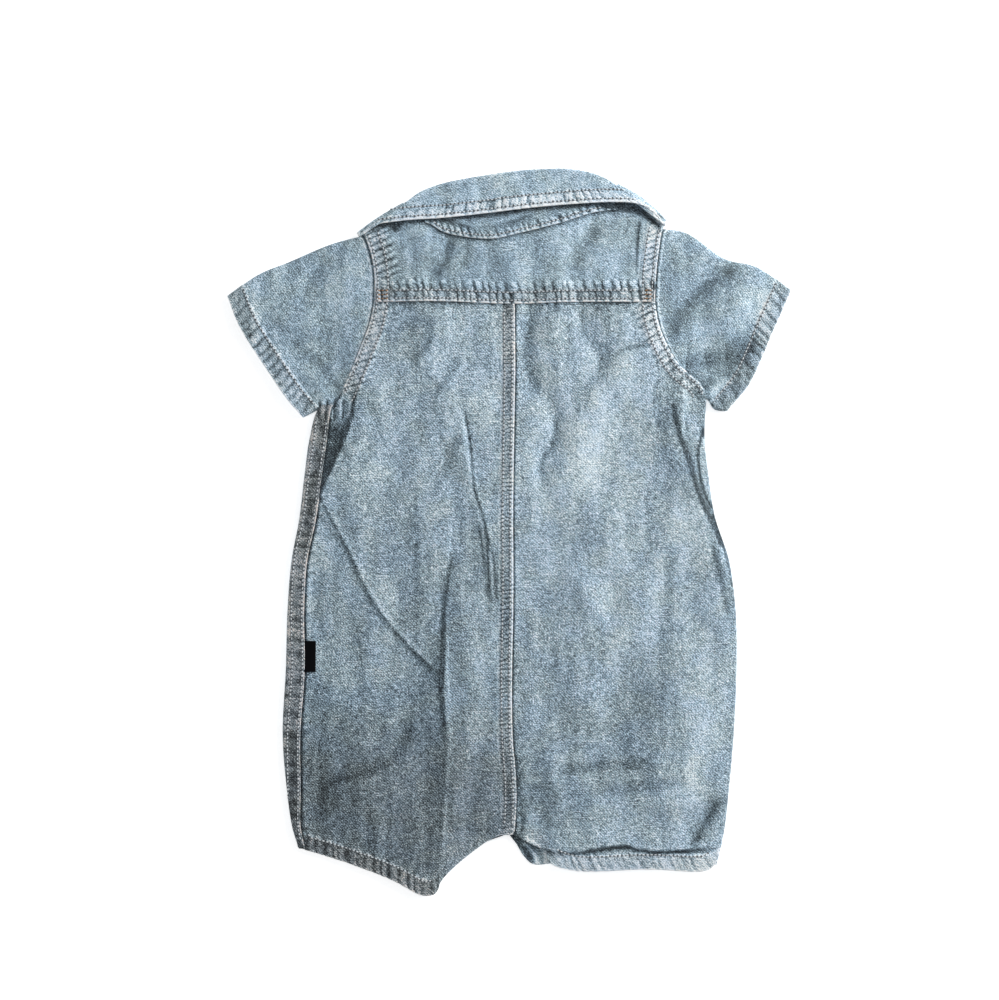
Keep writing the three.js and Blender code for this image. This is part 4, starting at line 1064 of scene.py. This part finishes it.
def makeLeftFront():
    sideY = np.linspace(70, -190, 30)
    sidePoints = [*armholeTops["left"][:-1], *columnLine("leftEdge", 140, 88, 8),
                  *np.stack([columnAt("leftEdge", sideY) + 6, sideY], -1)]
    hemPoints = [(x + 0.4, y + 1) for x, y in leftLegEdge[1:-2]]
    edges = frontEdges("left", sidePoints, (-126.8, -199), (-0.4, -190.4), hemPoints)
    clothPiece("front_left_cloth", [frontShell(edges, "left"), bandShell()], bodyDenim,
               "front_panel_left")


def makeRightFront():
    sideY = np.linspace(76, -190, 30)
    sidePoints = [*armholeTops["right"][:-1], *columnLine("rightEdge", 140, 102, 6), (115, 92),
                  *np.stack([columnAt("rightEdge", sideY) - 7, sideY], -1)]
    edges = frontEdges("right", sidePoints, (121, -208), rightFrontEdge[-1], rightFrontEdge[1:-1])
    clothPiece("front_right_cloth", [frontShell(edges, "right")], bodyDenim,
               "front_panel_right")


makeLeftFront()
makeRightFront()
print("front panels made")

# Placket down the front, with six snap caps, on the side that the garment lies on

placket = {"cut": (21, 338, 7098), "width": 21, "topY": 160, "bottomY": -178, "dimple": 0.55,
           "columns": 33, "lines": [("fromEdge", 0, 0.8, 0.35), ("fromEdge", 2.6, 0.5, -0.35)]}
snaps = {"count": 6, "pitch": 44, "topY": 88, "segments": 40}
# Rings of the cap from its middle, which faces down, to the back: radius and height
snapProfile = [(0.02, 0.06), (1.2, 0.07), (2.4, 0.11), (3.2, 0.19), (3.6, 0.25), (3.9, 0.22),
               (4.3, 0.16), (4.6, 0.2), (4.75, 0.34), (4.6, 0.5), (0.02, 0.52)]
snapPlaces = [snaps["topY"] - snaps["pitch"] * k for k in range(snaps["count"])]


def makePlacket():
    half = placket["width"] / 2
    rows = 2 * round((placket["topY"] - placket["bottomY"]) / 3)
    x, y = np.meshgrid(np.linspace(-half, half, placket["columns"]),
                       np.linspace(placket["topY"], placket["bottomY"], rows + 1))
    z = frontLift(y) + body["frontMiddle"]
    for snapY in snapPlaces:
        z = z + placket["dimple"] * (1 - smoothStep(5.0, 7.5, np.hypot(x, y - snapY)))
    fromEdge = half - np.abs(x)
    # puckers as tone: lighter ridges and darker valleys, partly wear, partly painted shade
    tone = 0.5 + 0.24 * puckers(y, fromEdge, 2.4, 34, 5.0, 0.1, 2.5) + 0.06 * noise2(x, y, 9, 35)
    tone += linesOn({"fromEdge": fromEdge}, placket["lines"])
    clothPiece("front_placket_cloth", [{"grid": np.stack([x, y, z], -1), "tone": tone}], bodyDenim,
               "front_placket")


def makeSnap(number, y):
    # a shallow domed cap that faces down, with a raised ring round it
    turns = np.linspace(0, 2 * math.pi, snaps["segments"], endpoint=False)
    base = float(frontLift(np.array(float(y))))
    rings = np.array([[(r * math.cos(a), y + r * math.sin(a), base + h) for a in turns]
                      for r, h in snapProfile])
    rows, columns = rings.shape[:2]
    corners = np.arange(rows * columns).reshape(rows, columns)
    corners = np.hstack([corners, corners[:, :1]])
    quads = np.stack([corners[:-1, :-1], corners[:-1, 1:], corners[1:, 1:], corners[1:, :-1]], -1)
    faces = quads.reshape(-1, 4)[:, ::-1].tolist()
    faces.append(list(range(columns)))
    faces.append(list(range((rows - 1) * columns, rows * columns))[::-1])
    cap = makeObject(f"snap_cap_{number}", rings.reshape(-1, 3), faces, capSteel)
    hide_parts(f"snap_{number}")


makePlacket()
for snapNumber, snapY in enumerate(snapPlaces, 1):
    makeSnap(snapNumber, snapY)
print("placket and snaps made")

# Sleeves: flattened tubes that come out from under the armhole bands

sleeves = {
    "cut": {"left": (118, 178, 14400), "right": (118, 178, 13200)},
    "topMiddle": 3.1,
    "edgeRound": 4.5,
    "underlap": 4.0,
    "rows": 104,
    "hemRows": 20,
    "columns": 104,         # on the upper side
    "shortest": 16,
    # the dark line beside the armhole seam is painted shade under the edge of the band
    "lines": [("fromHem", 0, 0.8, 0.35), ("fromHem", 12, 0.7, 0.25), ("fromSeam", 1.9, 0.7, 0.3),
              ("fromSeam", 0.5, 0.7, -0.5)],
}
sleeveEdges = {
    "left": {
        "shoulder": [(-91.4, 187.6), (-113, 181.4), (-140, 170), (-157, 163), (-177.6, 149)],
        "hem": [(-177.6, 149), (-169.4, 129), (-152, 101.4), (-139, 82.6), (-130, 72.4)],
        "underarm": [(-108.2, 84.4), (-113.4, 80.4), (-120.6, 77.4), (-130, 72.4)],
    },
    "right": {
        "shoulder": [(96.8, 191.4), (112, 188.6), (136, 172.6), (156, 167.4), (178.2, 152.6)],
        "hem": [(178.2, 152.6), (167.4, 128.4), (159.8, 110.5), (150.6, 92), (137.6, 76.4)],
        "underarm": [(125.4, 86), (126.8, 82), (130, 77.6), (137.6, 76.4)],
    },
}


def armholeLine(side):
    lower = columnLine(f"{side}Edge", 143, body["underarmY"], 24)
    return np.vstack([curveThrough(armholeTops[side], 8)[:-1], lower])


def makeSleeve(side, outward, seed):
    # rows run from the armhole to the hem, columns from the shoulder to the underarm
    shapes = sleeveEdges[side]
    rootLine = armholeLine(side)
    rootLine[:, 0] -= outward * sleeves["underlap"]
    rootLine[0] = np.array(shapes["shoulder"][0]) + (-outward * 3, 0)
    rootLine[-1] = np.array(shapes["underarm"][0]) + (-outward * 3, 0.6)
    edges = {"top": rootLine, "bottom": curveThrough(shapes["hem"]),
             "left": curveThrough([tuple(rootLine[0]), *shapes["shoulder"][1:]]),
             "right": curveThrough([tuple(rootLine[-1]), *shapes["underarm"][1:]])}
    rim, hem = body["cloth"] / 2, body["sleeveHem"]
    rowNumber = np.arange(sleeves["rows"] + sleeves["hemRows"] + 1, dtype=float)[:, None]
    even = np.linspace(0, 1, sleeves["columns"] + 1)
    eased = (0.5 - 0.5 * np.cos(math.pi * even)) * 0.35 + 0.65 * even
    across = eased[None, :] * np.ones((len(rowNumber), 1))
    zero = np.zeros(across.shape)
    length = distanceBetween(edges, (across, zero), (across, zero + 1))
    length = np.maximum(length, sleeves["shortest"])
    down = stationShare(rowNumber, length, 0, hem, (0, sleeves["rows"], sleeves["hemRows"]))
    width = distanceBetween(edges, (zero, down), (zero + 1, down))
    inset = rim / np.maximum(width, 1)
    across = inset + across * (1 - 2 * inset)
    points = patchPoints(edges, across, down)
    x, y = points[..., 0], points[..., 1]
    fromHem, fromRoot = (1 - down) * length, down * length
    fromSeam = fromRoot - sleeves["underlap"]
    fromEdge = np.minimum(across, 1 - across) * width - rim
    swell = np.sqrt(np.clip(1 - (1 - np.clip(fromEdge / sleeves["edgeRound"], 0, 1)) ** 2, 0, 1))
    leave = smoothStep(0.05, 0.5, down)
    creased = foldRise(x, y, folds) + foldRise(x, y, smallCreases)
    openTop = sleeves["topMiddle"] + np.maximum(-0.9, 1.3 * creased) + 1.6 * ripples(x, y)
    hemRidges = puckers(across * width, fromHem, hem - 1, seed, 5.7, 0.2, 3)
    rootRidges = puckers(across * width, fromSeam, 0.5, seed + 3, 5.4, 0.2, 8)
    seamRidges = puckers(fromRoot, (1 - across) * width, 4, seed + 5, 5.0, 0.3, 6)
    relief = 0.3 * (hemRidges + 0.8 * rootRidges + 0.6 * seamRidges)
    top = (1 - leave) * (backMiddle(x, y) - back["underDrop"]) + leave * openTop + relief
    base = frontLift(y) * (1 - smoothStep(0, 0.35, down)) + body["frontMiddle"]
    base = base + front["overlapRise"] * (1 - smoothStep(3.5, 7, fromRoot))
    middle, half = (top + base) / 2, (top - base) / 2
    # cavity and ridges as tone: lighter ridges and darker hollows, partly wear, partly painted shade
    tone = 0.5 + washAndShadeTone(x, y) + 0.35 * cavity(top, 8) + 0.26 * hemRidges + 0.08 * rootRidges
    tone += linesOn({"fromHem": fromHem, "fromSeam": fromSeam}, sleeves["lines"])
    onTop = {"tone": tone - band(fromHem, hem, 0.06), "rosy": band(fromHem, hem, 0.3),
             "rise": band(fromHem, hem, 0.3), "grid": np.stack([x, y, middle + half * swell], -1)}
    below = {**onTop, "rise": zero, "grid": np.stack([x, y, middle - half * swell], -1)}
    shell = {name: np.concatenate([onTop[name], below[name][:, -2:0:-1]], axis=1)
             for name in onTop}
    if outward > 0:
        shell = {name: values[:, ::-1] for name, values in shell.items()}
    clothPiece(f"sleeve_{side}_cloth", [{**shell, "wrapped": True}], sleeveDenim,
               f"sleeve_{side}")


makeSleeve("left", -1, 61)
makeSleeve("right", 1, 81)
print("sleeves made")

# Collar: the leaf folded back over the yoke, round both shoulders and on under the front

collar = {
    "leafCut": (270, 62, 11400),
    "standCut": (118, 36, 3600),
    "leafHalf": 0.55,
    "leafOver": 1.95,       # middle of the leaf over the middle of the back
    "rollRadius": 1.2,
    "underRadius": 0.75,
    "underLevel": 0.62,
    "seamRelief": 0.34,
    "stitchRows": (2.3, 8.0),
    "across": 40,
    "curlFacets": 8,
    "turnFacets": 10,
    "perSpan": 28,
    "bulges": (0.8, 2.4),   # how far the leaf stands out where it turns at the two shoulders
    "lines": [("fromEdge", 0, 1.3, 0.6), ("fromEdge", 7.8, 0.5, -0.2)],
}
collarPoints = {"left": [(-44, 186, -80, 158), (-14, 164, -52, 132)],
                "right": [(44, 186, 80, 158), (14, 164, 52, 132)]}
stand = {
    "columns": 150,
    "rows": 26,
    "over": 0.76,
    "seamRelief": 0.34,
    "tucks": [(0.8, 3, 3, (-41, 197), (-30, 194), (-19, 190)),
              (0.8, 3, 3, (-12, 192), (2, 196), (16, 201))],
    # painted shade in the two tucks
    "shades": [(-0.3, 1.5, 1.5, (-41, 196), (-30, 193), (-19, 189)),
               (-0.25, 1.5, 1.5, (-12, 191), (2, 195), (16, 200))],
}
upward = np.array([0, 0, 1.0])


def leafMiddle(x, y):
    return backMiddle(x, y, False) + collar["leafOver"]


def leafSection(edge, roll, outward, radius, bulge=0.0):
    # from the curl at the stand, over the roll, down to the free edge
    along = (roll - edge) / np.linalg.norm(roll - edge)
    flatEnd = roll - along * radius
    centre = flatEnd - outward * radius
    curl = [centre + radius * (along * math.sin(a) + outward * math.cos(a))
            for a in np.linspace(math.pi, 0, collar["curlFacets"] + 1)[:-1]]
    flat = [flatEnd + (edge - flatEnd) * share + bulge * math.sin(math.pi * share)
            for share in np.linspace(0, 1, collar["across"] + 1)]
    return np.array(curl + flat)


def turnRows(edgePoint, rollPoint, rise, bulge):
    # round a shoulder, from the back down to the front
    topEdge = np.array([*edgePoint, leafMiddle(*edgePoint) + rise])
    topRoll = np.array([*rollPoint, leafMiddle(*rollPoint)])
    run = (topRoll - topEdge)[:2] / np.linalg.norm((topRoll - topEdge)[:2])
    away = np.array([-run[1], run[0], 0])
    away = away if away[1] > 0 else -away
    rows = []
    for angle in np.linspace(0, math.pi, collar["turnFacets"] + 1)[1:]:
        ends = []
        for point in (topEdge, topRoll):
            radius = (point[2] - collar["underLevel"]) / 2
            level = collar["underLevel"] + radius + radius * math.cos(angle)
            turned = np.array([point[0], point[1], level])
            ends.append(turned + away * radius * math.sin(angle))
        outward = away * math.sin(angle) + upward * math.cos(angle)
        share = angle / math.pi
        radius = collar["rollRadius"] * (1 - share) + collar["underRadius"] * share
        rows.append(leafSection(*ends, outward, radius, away * bulge * math.sin(angle)))
    return rows


def pointRows(side, rollPoint, edgePoint):
    # on under the front to the tip of the collar point
    line = curveThrough([(*rollPoint, *edgePoint), *collarPoints[side]], 10)
    level = collar["underLevel"]
    return [leafSection(np.array([*row[2:], level]), np.array([*row[:2], level]), -upward,
                        collar["underRadius"]) for row in line[1:]]


def makeLeaf():
    roll = curveThrough(leafSections[:, :2], collar["perSpan"])
    edge = curveThrough(leafSections[:, 2:4], collar["perSpan"])
    evenly = np.arange(len(leafSections))[:, None] * (0, 20)
    lift = curveThrough(leafSections[:, [4, 4]] + evenly, collar["perSpan"])[:, 0]
    firstBulge, lastBulge = collar["bulges"]
    before = turnRows(edge[0], roll[0], lift[0], firstBulge)[::-1]
    before = pointRows("left", roll[0], edge[0])[::-1] + before
    over = [leafSection(np.array([*edgePoint, leafMiddle(*edgePoint) + rise]),
                        np.array([*rollPoint, leafMiddle(*rollPoint)]), upward,
                        collar["rollRadius"])
            for rollPoint, edgePoint, rise in zip(roll, edge, lift)]
    after = turnRows(edge[-1], roll[-1], lift[-1], lastBulge)
    after += pointRows("right", roll[-1], edge[-1])
    # rows run to the free edge, columns along the collar
    grid = np.stack(before + over + after, axis=1)
    onTop = np.repeat([0.0, 1.0, 0.0], [len(before), len(over), len(after)])[None, :]
    steps = np.linalg.norm(np.diff(grid, axis=0), axis=-1)
    fromEdge = np.vstack([np.cumsum(steps[::-1], axis=0)[::-1], np.zeros((1, grid.shape[1]))])
    along = lengthAlong(grid[-1])[None, :] * np.ones((grid.shape[0], 1))
    relief = puckers(along, fromEdge, 8, 91, 6.2, 0.3, 2.5)
    relief += 0.45 * puckers(along, fromEdge, 8, 97, 2.6, 0.0, 2.5)
    soft = ripples(grid[..., 0], grid[..., 1]) * smoothStep(0, 6, fromEdge) * onTop
    grid[..., 2] += (collar["seamRelief"] * relief + 1.2 * soft) * onTop
    # puckers and cavity as tone: lighter ridges and darker hollows, partly wear, partly painted shade
    tone = 0.56 + washAndShadeTone(grid[..., 0], grid[..., 1]) + 0.34 * relief + band(fromEdge, 8, 0.08)
    tone += 0.4 * cavity(grid[..., 2], 5) * onTop
    tone += linesOn({"fromEdge": fromEdge}, collar["lines"])
    clothPiece("collar_leaf_cloth", [{
        "grid": grid, "half": collar["leafHalf"], "tone": tone,
        "rise": band(fromEdge, 9, 0.12) * onTop, "rosy": band(fromEdge, 8, 0.2),
    }], collarDenim, "collar_leaf")


def makeStand():
    share, x = np.meshgrid(np.linspace(0, 1, stand["rows"] + 1),
                           np.linspace(-53, 67, stand["columns"] + 1), indexing="ij")
    neck, rollLine = curveThrough(yokeTop), curveThrough(leafSections[:, :2])
    low = np.interp(x, neck[:, 0], neck[:, 1]) - 0.6
    high = np.maximum(np.interp(x, rollLine[:, 0], rollLine[:, 1]) - 3.4, low + 6)
    y = high + (low - high) * share
    fromLow = y - low
    relief = puckers(x, fromLow, 4, 95, 4.4, 0.4, 3)
    z = backMiddle(x, y, False) + stand["over"] + stand["seamRelief"] * relief
    z = z + foldRise(x, y, stand["tucks"])
    # puckers and cavity as tone: lighter ridges and darker hollows, partly wear, partly painted shade
    tone = 0.46 + 0.36 * relief + 0.4 * cavity(z, 6)
    tone += linesOn({"fromLow": fromLow}, [("fromLow", 0, 0.9, 0.45)])
    # painted shadow under the collar leaf's edge and in the gap beneath it, and painted shade in the
    # tucks
    tone += shadeUnder(curveThrough(leafSections[:, 2:4], 8), x, y, 2.2, 0.3)
    tone += foldRise(x, y, leafGapShadows) + foldRise(x, y, stand["shades"])
    clothPiece("collar_stand_cloth", [{"grid": np.stack([x, y, z], -1), "tone": tone}],
               collarDenim, "collar_stand")


makeLeaf()
makeStand()
print("collar made")

# Side tab: a bare black tape, folded double, that stands out of the left side seam

sideTab = {"cut": (13.9, 19.5, 270), "leftX": -129.0, "width": 7.2, "topY": -68.7, "length": 19.5,
           "half": 0.2, "foldRadius": 0.24, "rows": 41, "over": 0.47}


def makeSideTab():
    # from the seam out over the top, round the fold and back below
    y = np.linspace(sideTab["topY"], sideTab["topY"] - sideTab["length"], sideTab["rows"])
    radius = sideTab["foldRadius"]
    flat = sideTab["width"] - radius - sideTab["half"]
    section = [(flat * share, 0) for share in np.linspace(0, 1, 12)]
    section += [(flat + radius * math.sin(a), -radius + radius * math.cos(a))
                for a in np.linspace(0, math.pi, 7)[1:-1]]
    section += [(flat * share, -2 * radius) for share in np.linspace(1, 0, 12)]
    out, height = np.array(section).T
    x = sideTab["leftX"] + out[None, :] + 0.12 * noise1(y, 6, 7)[:, None]
    down = y[:, None] * np.ones((1, len(out)))
    z = backMiddle(x, down) + sideTab["over"] + 3 * radius + height[None, :]
    clothPiece("side_tab_tape", [{"grid": np.stack([x, down, z], -1), "half": sideTab["half"]}],
               blackTape, "side_tab")


makeSideTab()
print("side tab made")

# Stitches: short arched threads, set in twin rows along the seams

stitching = {"pitch": 2.5, "length": 1.6, "radius": 0.36, "seed": 5, "sides": 6,
             "hole": (0.5, 0.72), "holeGap": 0.45, "holeRise": 0.3, "holeShadeLevel": 0.9,
             "steepest": 1.0}
# Rings of a stitch: place along it, girth, how high it arches, how much painted shade it has
stitchRings = [(-0.55, 0.6, -0.1, 1.0), (-0.4, 0.95, 0.05, 0.25), (-0.15, 1.0, 0.2, 0.0),
               (0.15, 1.0, 0.2, 0.0), (0.4, 0.95, 0.05, 0.25), (0.55, 0.6, -0.1, 1.0)]


def topSurface():
    vertices, quads, start = [], [], 0
    for outer in clothTops:
        rows, columns = outer.shape[:2]
        number = np.arange(rows * columns).reshape(rows, columns) + start
        quads.append(np.stack([number[:-1, :-1], number[1:, :-1], number[1:, 1:],
                               number[:-1, 1:]], -1).reshape(-1, 4))
        vertices.append(outer.reshape(-1, 3))
        start += rows * columns
    return BVHTree.FromPolygons(np.vstack(vertices).tolist(), np.vstack(quads).tolist())


surface = topSurface()


def heightOn(x, y):
    hit = surface.ray_cast(Vector((x, y, 60)), Vector((0, 0, -1)))
    return hit[0].z if hit[0] else None


def stitchRow(line):
    # the two ends of each stitch along a line in plan
    pitch, half = stitching["pitch"], stitching["length"] / 2
    total = lengthAlong(line)[-1]
    places = np.arange(pitch / 2, total - pitch / 3, pitch)
    made = []
    for a, b in zip(pointsAt(line, (places - half) / total), pointsAt(line, (places + half) / total)):
        heights = heightOn(*a), heightOn(*b)
        if None in heights or abs(heights[0] - heights[1]) > stitching["steepest"]:
            continue
        made.append((np.array([*a, heights[0]]), np.array([*b, heights[1]])))
    return made


def makeStitches(name, rows, material):
    # each stitch is a short arched tube, with a dark flat patch before it that paints the shade in
    # the needle hole
    rng = np.random.default_rng(stitching["seed"])
    ends = [pair for row in rows for pair in row]
    a, b = np.array([p[0] for p in ends]), np.array([p[1] for p in ends])
    middle, run = (a + b) / 2, b - a
    length = np.linalg.norm(run, axis=1)[:, None]
    run = run / length
    run = run + np.cross(upward, run) * rng.normal(0, 0.09, (len(ends), 1))
    side = np.cross(upward, run)
    up = np.cross(run, side)
    radius = stitching["radius"] * rng.uniform(0.85, 1.15, (len(ends), 1))
    grown = rng.uniform(0.75, 1.3, (len(ends), 1))
    before = middle - run * (length / 2 + stitching["holeGap"]) + up * stitching["holeRise"]
    alongHole, acrossHole = stitching["hole"]
    sides = stitching["sides"]
    angles = [2 * math.pi * corner / sides for corner in range(sides)]
    rings = [middle + run * place * length + up * arch
             + radius * girth * (side * math.cos(angle) + up * math.sin(angle))
             for place, girth, arch, depth in stitchRings for angle in angles]
    rings += [before + grown * (run * alongHole * math.cos(angle)
                                + side * acrossHole * math.sin(angle)) for angle in angles]
    stitchShades = [row[3] for row in stitchRings] + [stitching["holeShadeLevel"]]
    lastRing = (len(stitchRings) - 1) * sides
    pattern = [list(range(lastRing + sides, lastRing + 2 * sides))]
    for low in range(0, lastRing, sides):
        for corner in range(sides):
            after = (corner + 1) % sides
            pattern.append([low + corner, low + after, low + sides + after, low + sides + corner])
    pattern += [list(range(sides))[::-1], list(range(lastRing, lastRing + sides))]
    faces = [[stitch * len(rings) + corner for corner in face]
             for stitch in range(len(ends)) for face in pattern]
    makeObject(name, np.stack(rings, axis=1).reshape(-1, 3), faces, material,
               {"holeShade": np.tile(np.repeat(stitchShades, sides), len(ends))})


def shortened(line, margin=0.01):
    return pointsAt(line, np.linspace(margin, 1 - margin, 160))


yokeLine = curveThrough(yokeBottom)
centreLine = columnLine("middle", 142, -189, 120)
sideLine = columnLine("leftSeam", 72, -197, 120)
leafEdge = curveThrough(leafSections[:, 2:4])
# How far beside its line each row of stitches runs, to the left as the line is walked
seamLines = {
    "yoke_stitches": (yokeLine, (1.9, 7.0)),
    "centre_stitches": (centreLine, (-1.9, -6.6)),
    "side_stitches": (sideLine, (-1.5, -8.0)),
    "left_armhole_stitches": (armholeLine("left"), (2.0, 8.4)),
    "neck_stitches": (trimX(curveThrough(yokeTop), -50, 62), (1.6,)),
    "right_armhole_stitches": (armholeLine("right"), (-2.0, -8.0)),
    "collar_stitches": (leafEdge, collar["stitchRows"]),
    "left_hem_stitches": (curveThrough(leftLegEdge[:5]), (8.8,)),
    "right_hem_stitches": (curveThrough(rightLegEdge[:5]), (-9.4,)),
    "left_sleeve_stitches": (curveThrough(sleeveEdges["left"]["hem"]), (10.8,)),
    "right_sleeve_stitches": (curveThrough(sleeveEdges["right"]["hem"]), (-10.8,)),
}
seamRows = {name: [beside(line, shift) for shift in shifts]
            for name, (line, shifts) in seamLines.items()}
seamRows["yoke_stitches"] = [trimX(row, -75, 85) for row in seamRows["yoke_stitches"]]
seamRows["collar_stitches"] = [trimX(row, -84, 84 - shift) for row, shift
                               in zip(seamRows["collar_stitches"], collar["stitchRows"])]
# Where the yoke seam was sewn over twice at the armholes, the thread is tan
seamEnds = [trimX(beside(yokeLine, row), low, high) for row in (1.9, 4.4, 7.0)
            for low, high in ((-84, -75), (85, 93))]
makeStitches("seam_end_stitches", [stitchRow(line) for line in seamEnds], tanThread)
for seamName, rows in seamRows.items():
    makeStitches(seamName, [stitchRow(shortened(row)) for row in rows], paleThread)
print("stitches made")

# Floor, light and camera

stage = {
    "floorSize": 6000,
    "floorZ": -0.6,
    "floorTiles": 12,
    "camera": (-6.0, 20.2, 1054),
    "lens": 60,
    "sensor": 36,
}


def makeFloor():
    # matt white paper sweep, so bright that it reads as clean white
    material, tree, _ = startMaterial("whitePaperFloor")
    finishMaterial(tree, {"Base Color": linearColour("#fbfbfb"), "Roughness": 0.95,
                          "Specular IOR Level": 0.1, "Emission Color": linearColour("#ffffff"),
                          "Emission Strength": 0.5})
    half = stage["floorSize"] / 2 * mm
    count = stage["floorTiles"]
    ticks = np.linspace(-half, half, count + 1)
    points = [(x, y, stage["floorZ"] * mm) for y in ticks for x in ticks]
    faces = [[r * (count + 1) + c, r * (count + 1) + c + 1, (r + 1) * (count + 1) + c + 1,
              (r + 1) * (count + 1) + c] for r in range(count) for c in range(count)]
    mesh = bpy.data.meshes.new("floor")
    mesh.from_pydata(points, [], faces)
    mesh.materials.append(material)
    floor = bpy.data.objects.new("floor", mesh)
    bpy.context.scene.collection.objects.link(floor)


def makeLight(name, size, power, place, aim=(0, 0, 0)):
    lamp = bpy.data.lights.new(name, "AREA")
    lamp.shape = "RECTANGLE"
    lamp.size, lamp.size_y = size
    lamp.energy = power
    holder = bpy.data.objects.new(name, lamp)
    holder.location = place
    holder.rotation_euler = (Vector(aim) - Vector(place)).to_track_quat("-Z", "Y").to_euler()
    bpy.context.scene.collection.objects.link(holder)


makeFloor()
makeLight("windowLight", (0.7, 0.7), 24, (1.15, 0.7, 0.62))
makeLight("softFill", (2.2, 2.2), 6, (-0.3, -0.2, 1.7))
world = bpy.data.worlds.new("paleRoom")
world.use_nodes = True
world.node_tree.nodes["Background"].inputs["Color"].default_value = linearColour("#f6f8fa")
world.node_tree.nodes["Background"].inputs["Strength"].default_value = 0.42
scene = bpy.context.scene
scene.world = world
scene.view_settings.view_transform = "Standard"
camera = bpy.data.cameras.new("overheadCamera")
camera.lens, camera.sensor_width = stage["lens"], stage["sensor"]
holder = bpy.data.objects.new("overheadCamera", camera)
holder.location = [place * mm for place in stage["camera"]]
scene.collection.objects.link(holder)
scene.camera = holder
print("floor, light and camera made")
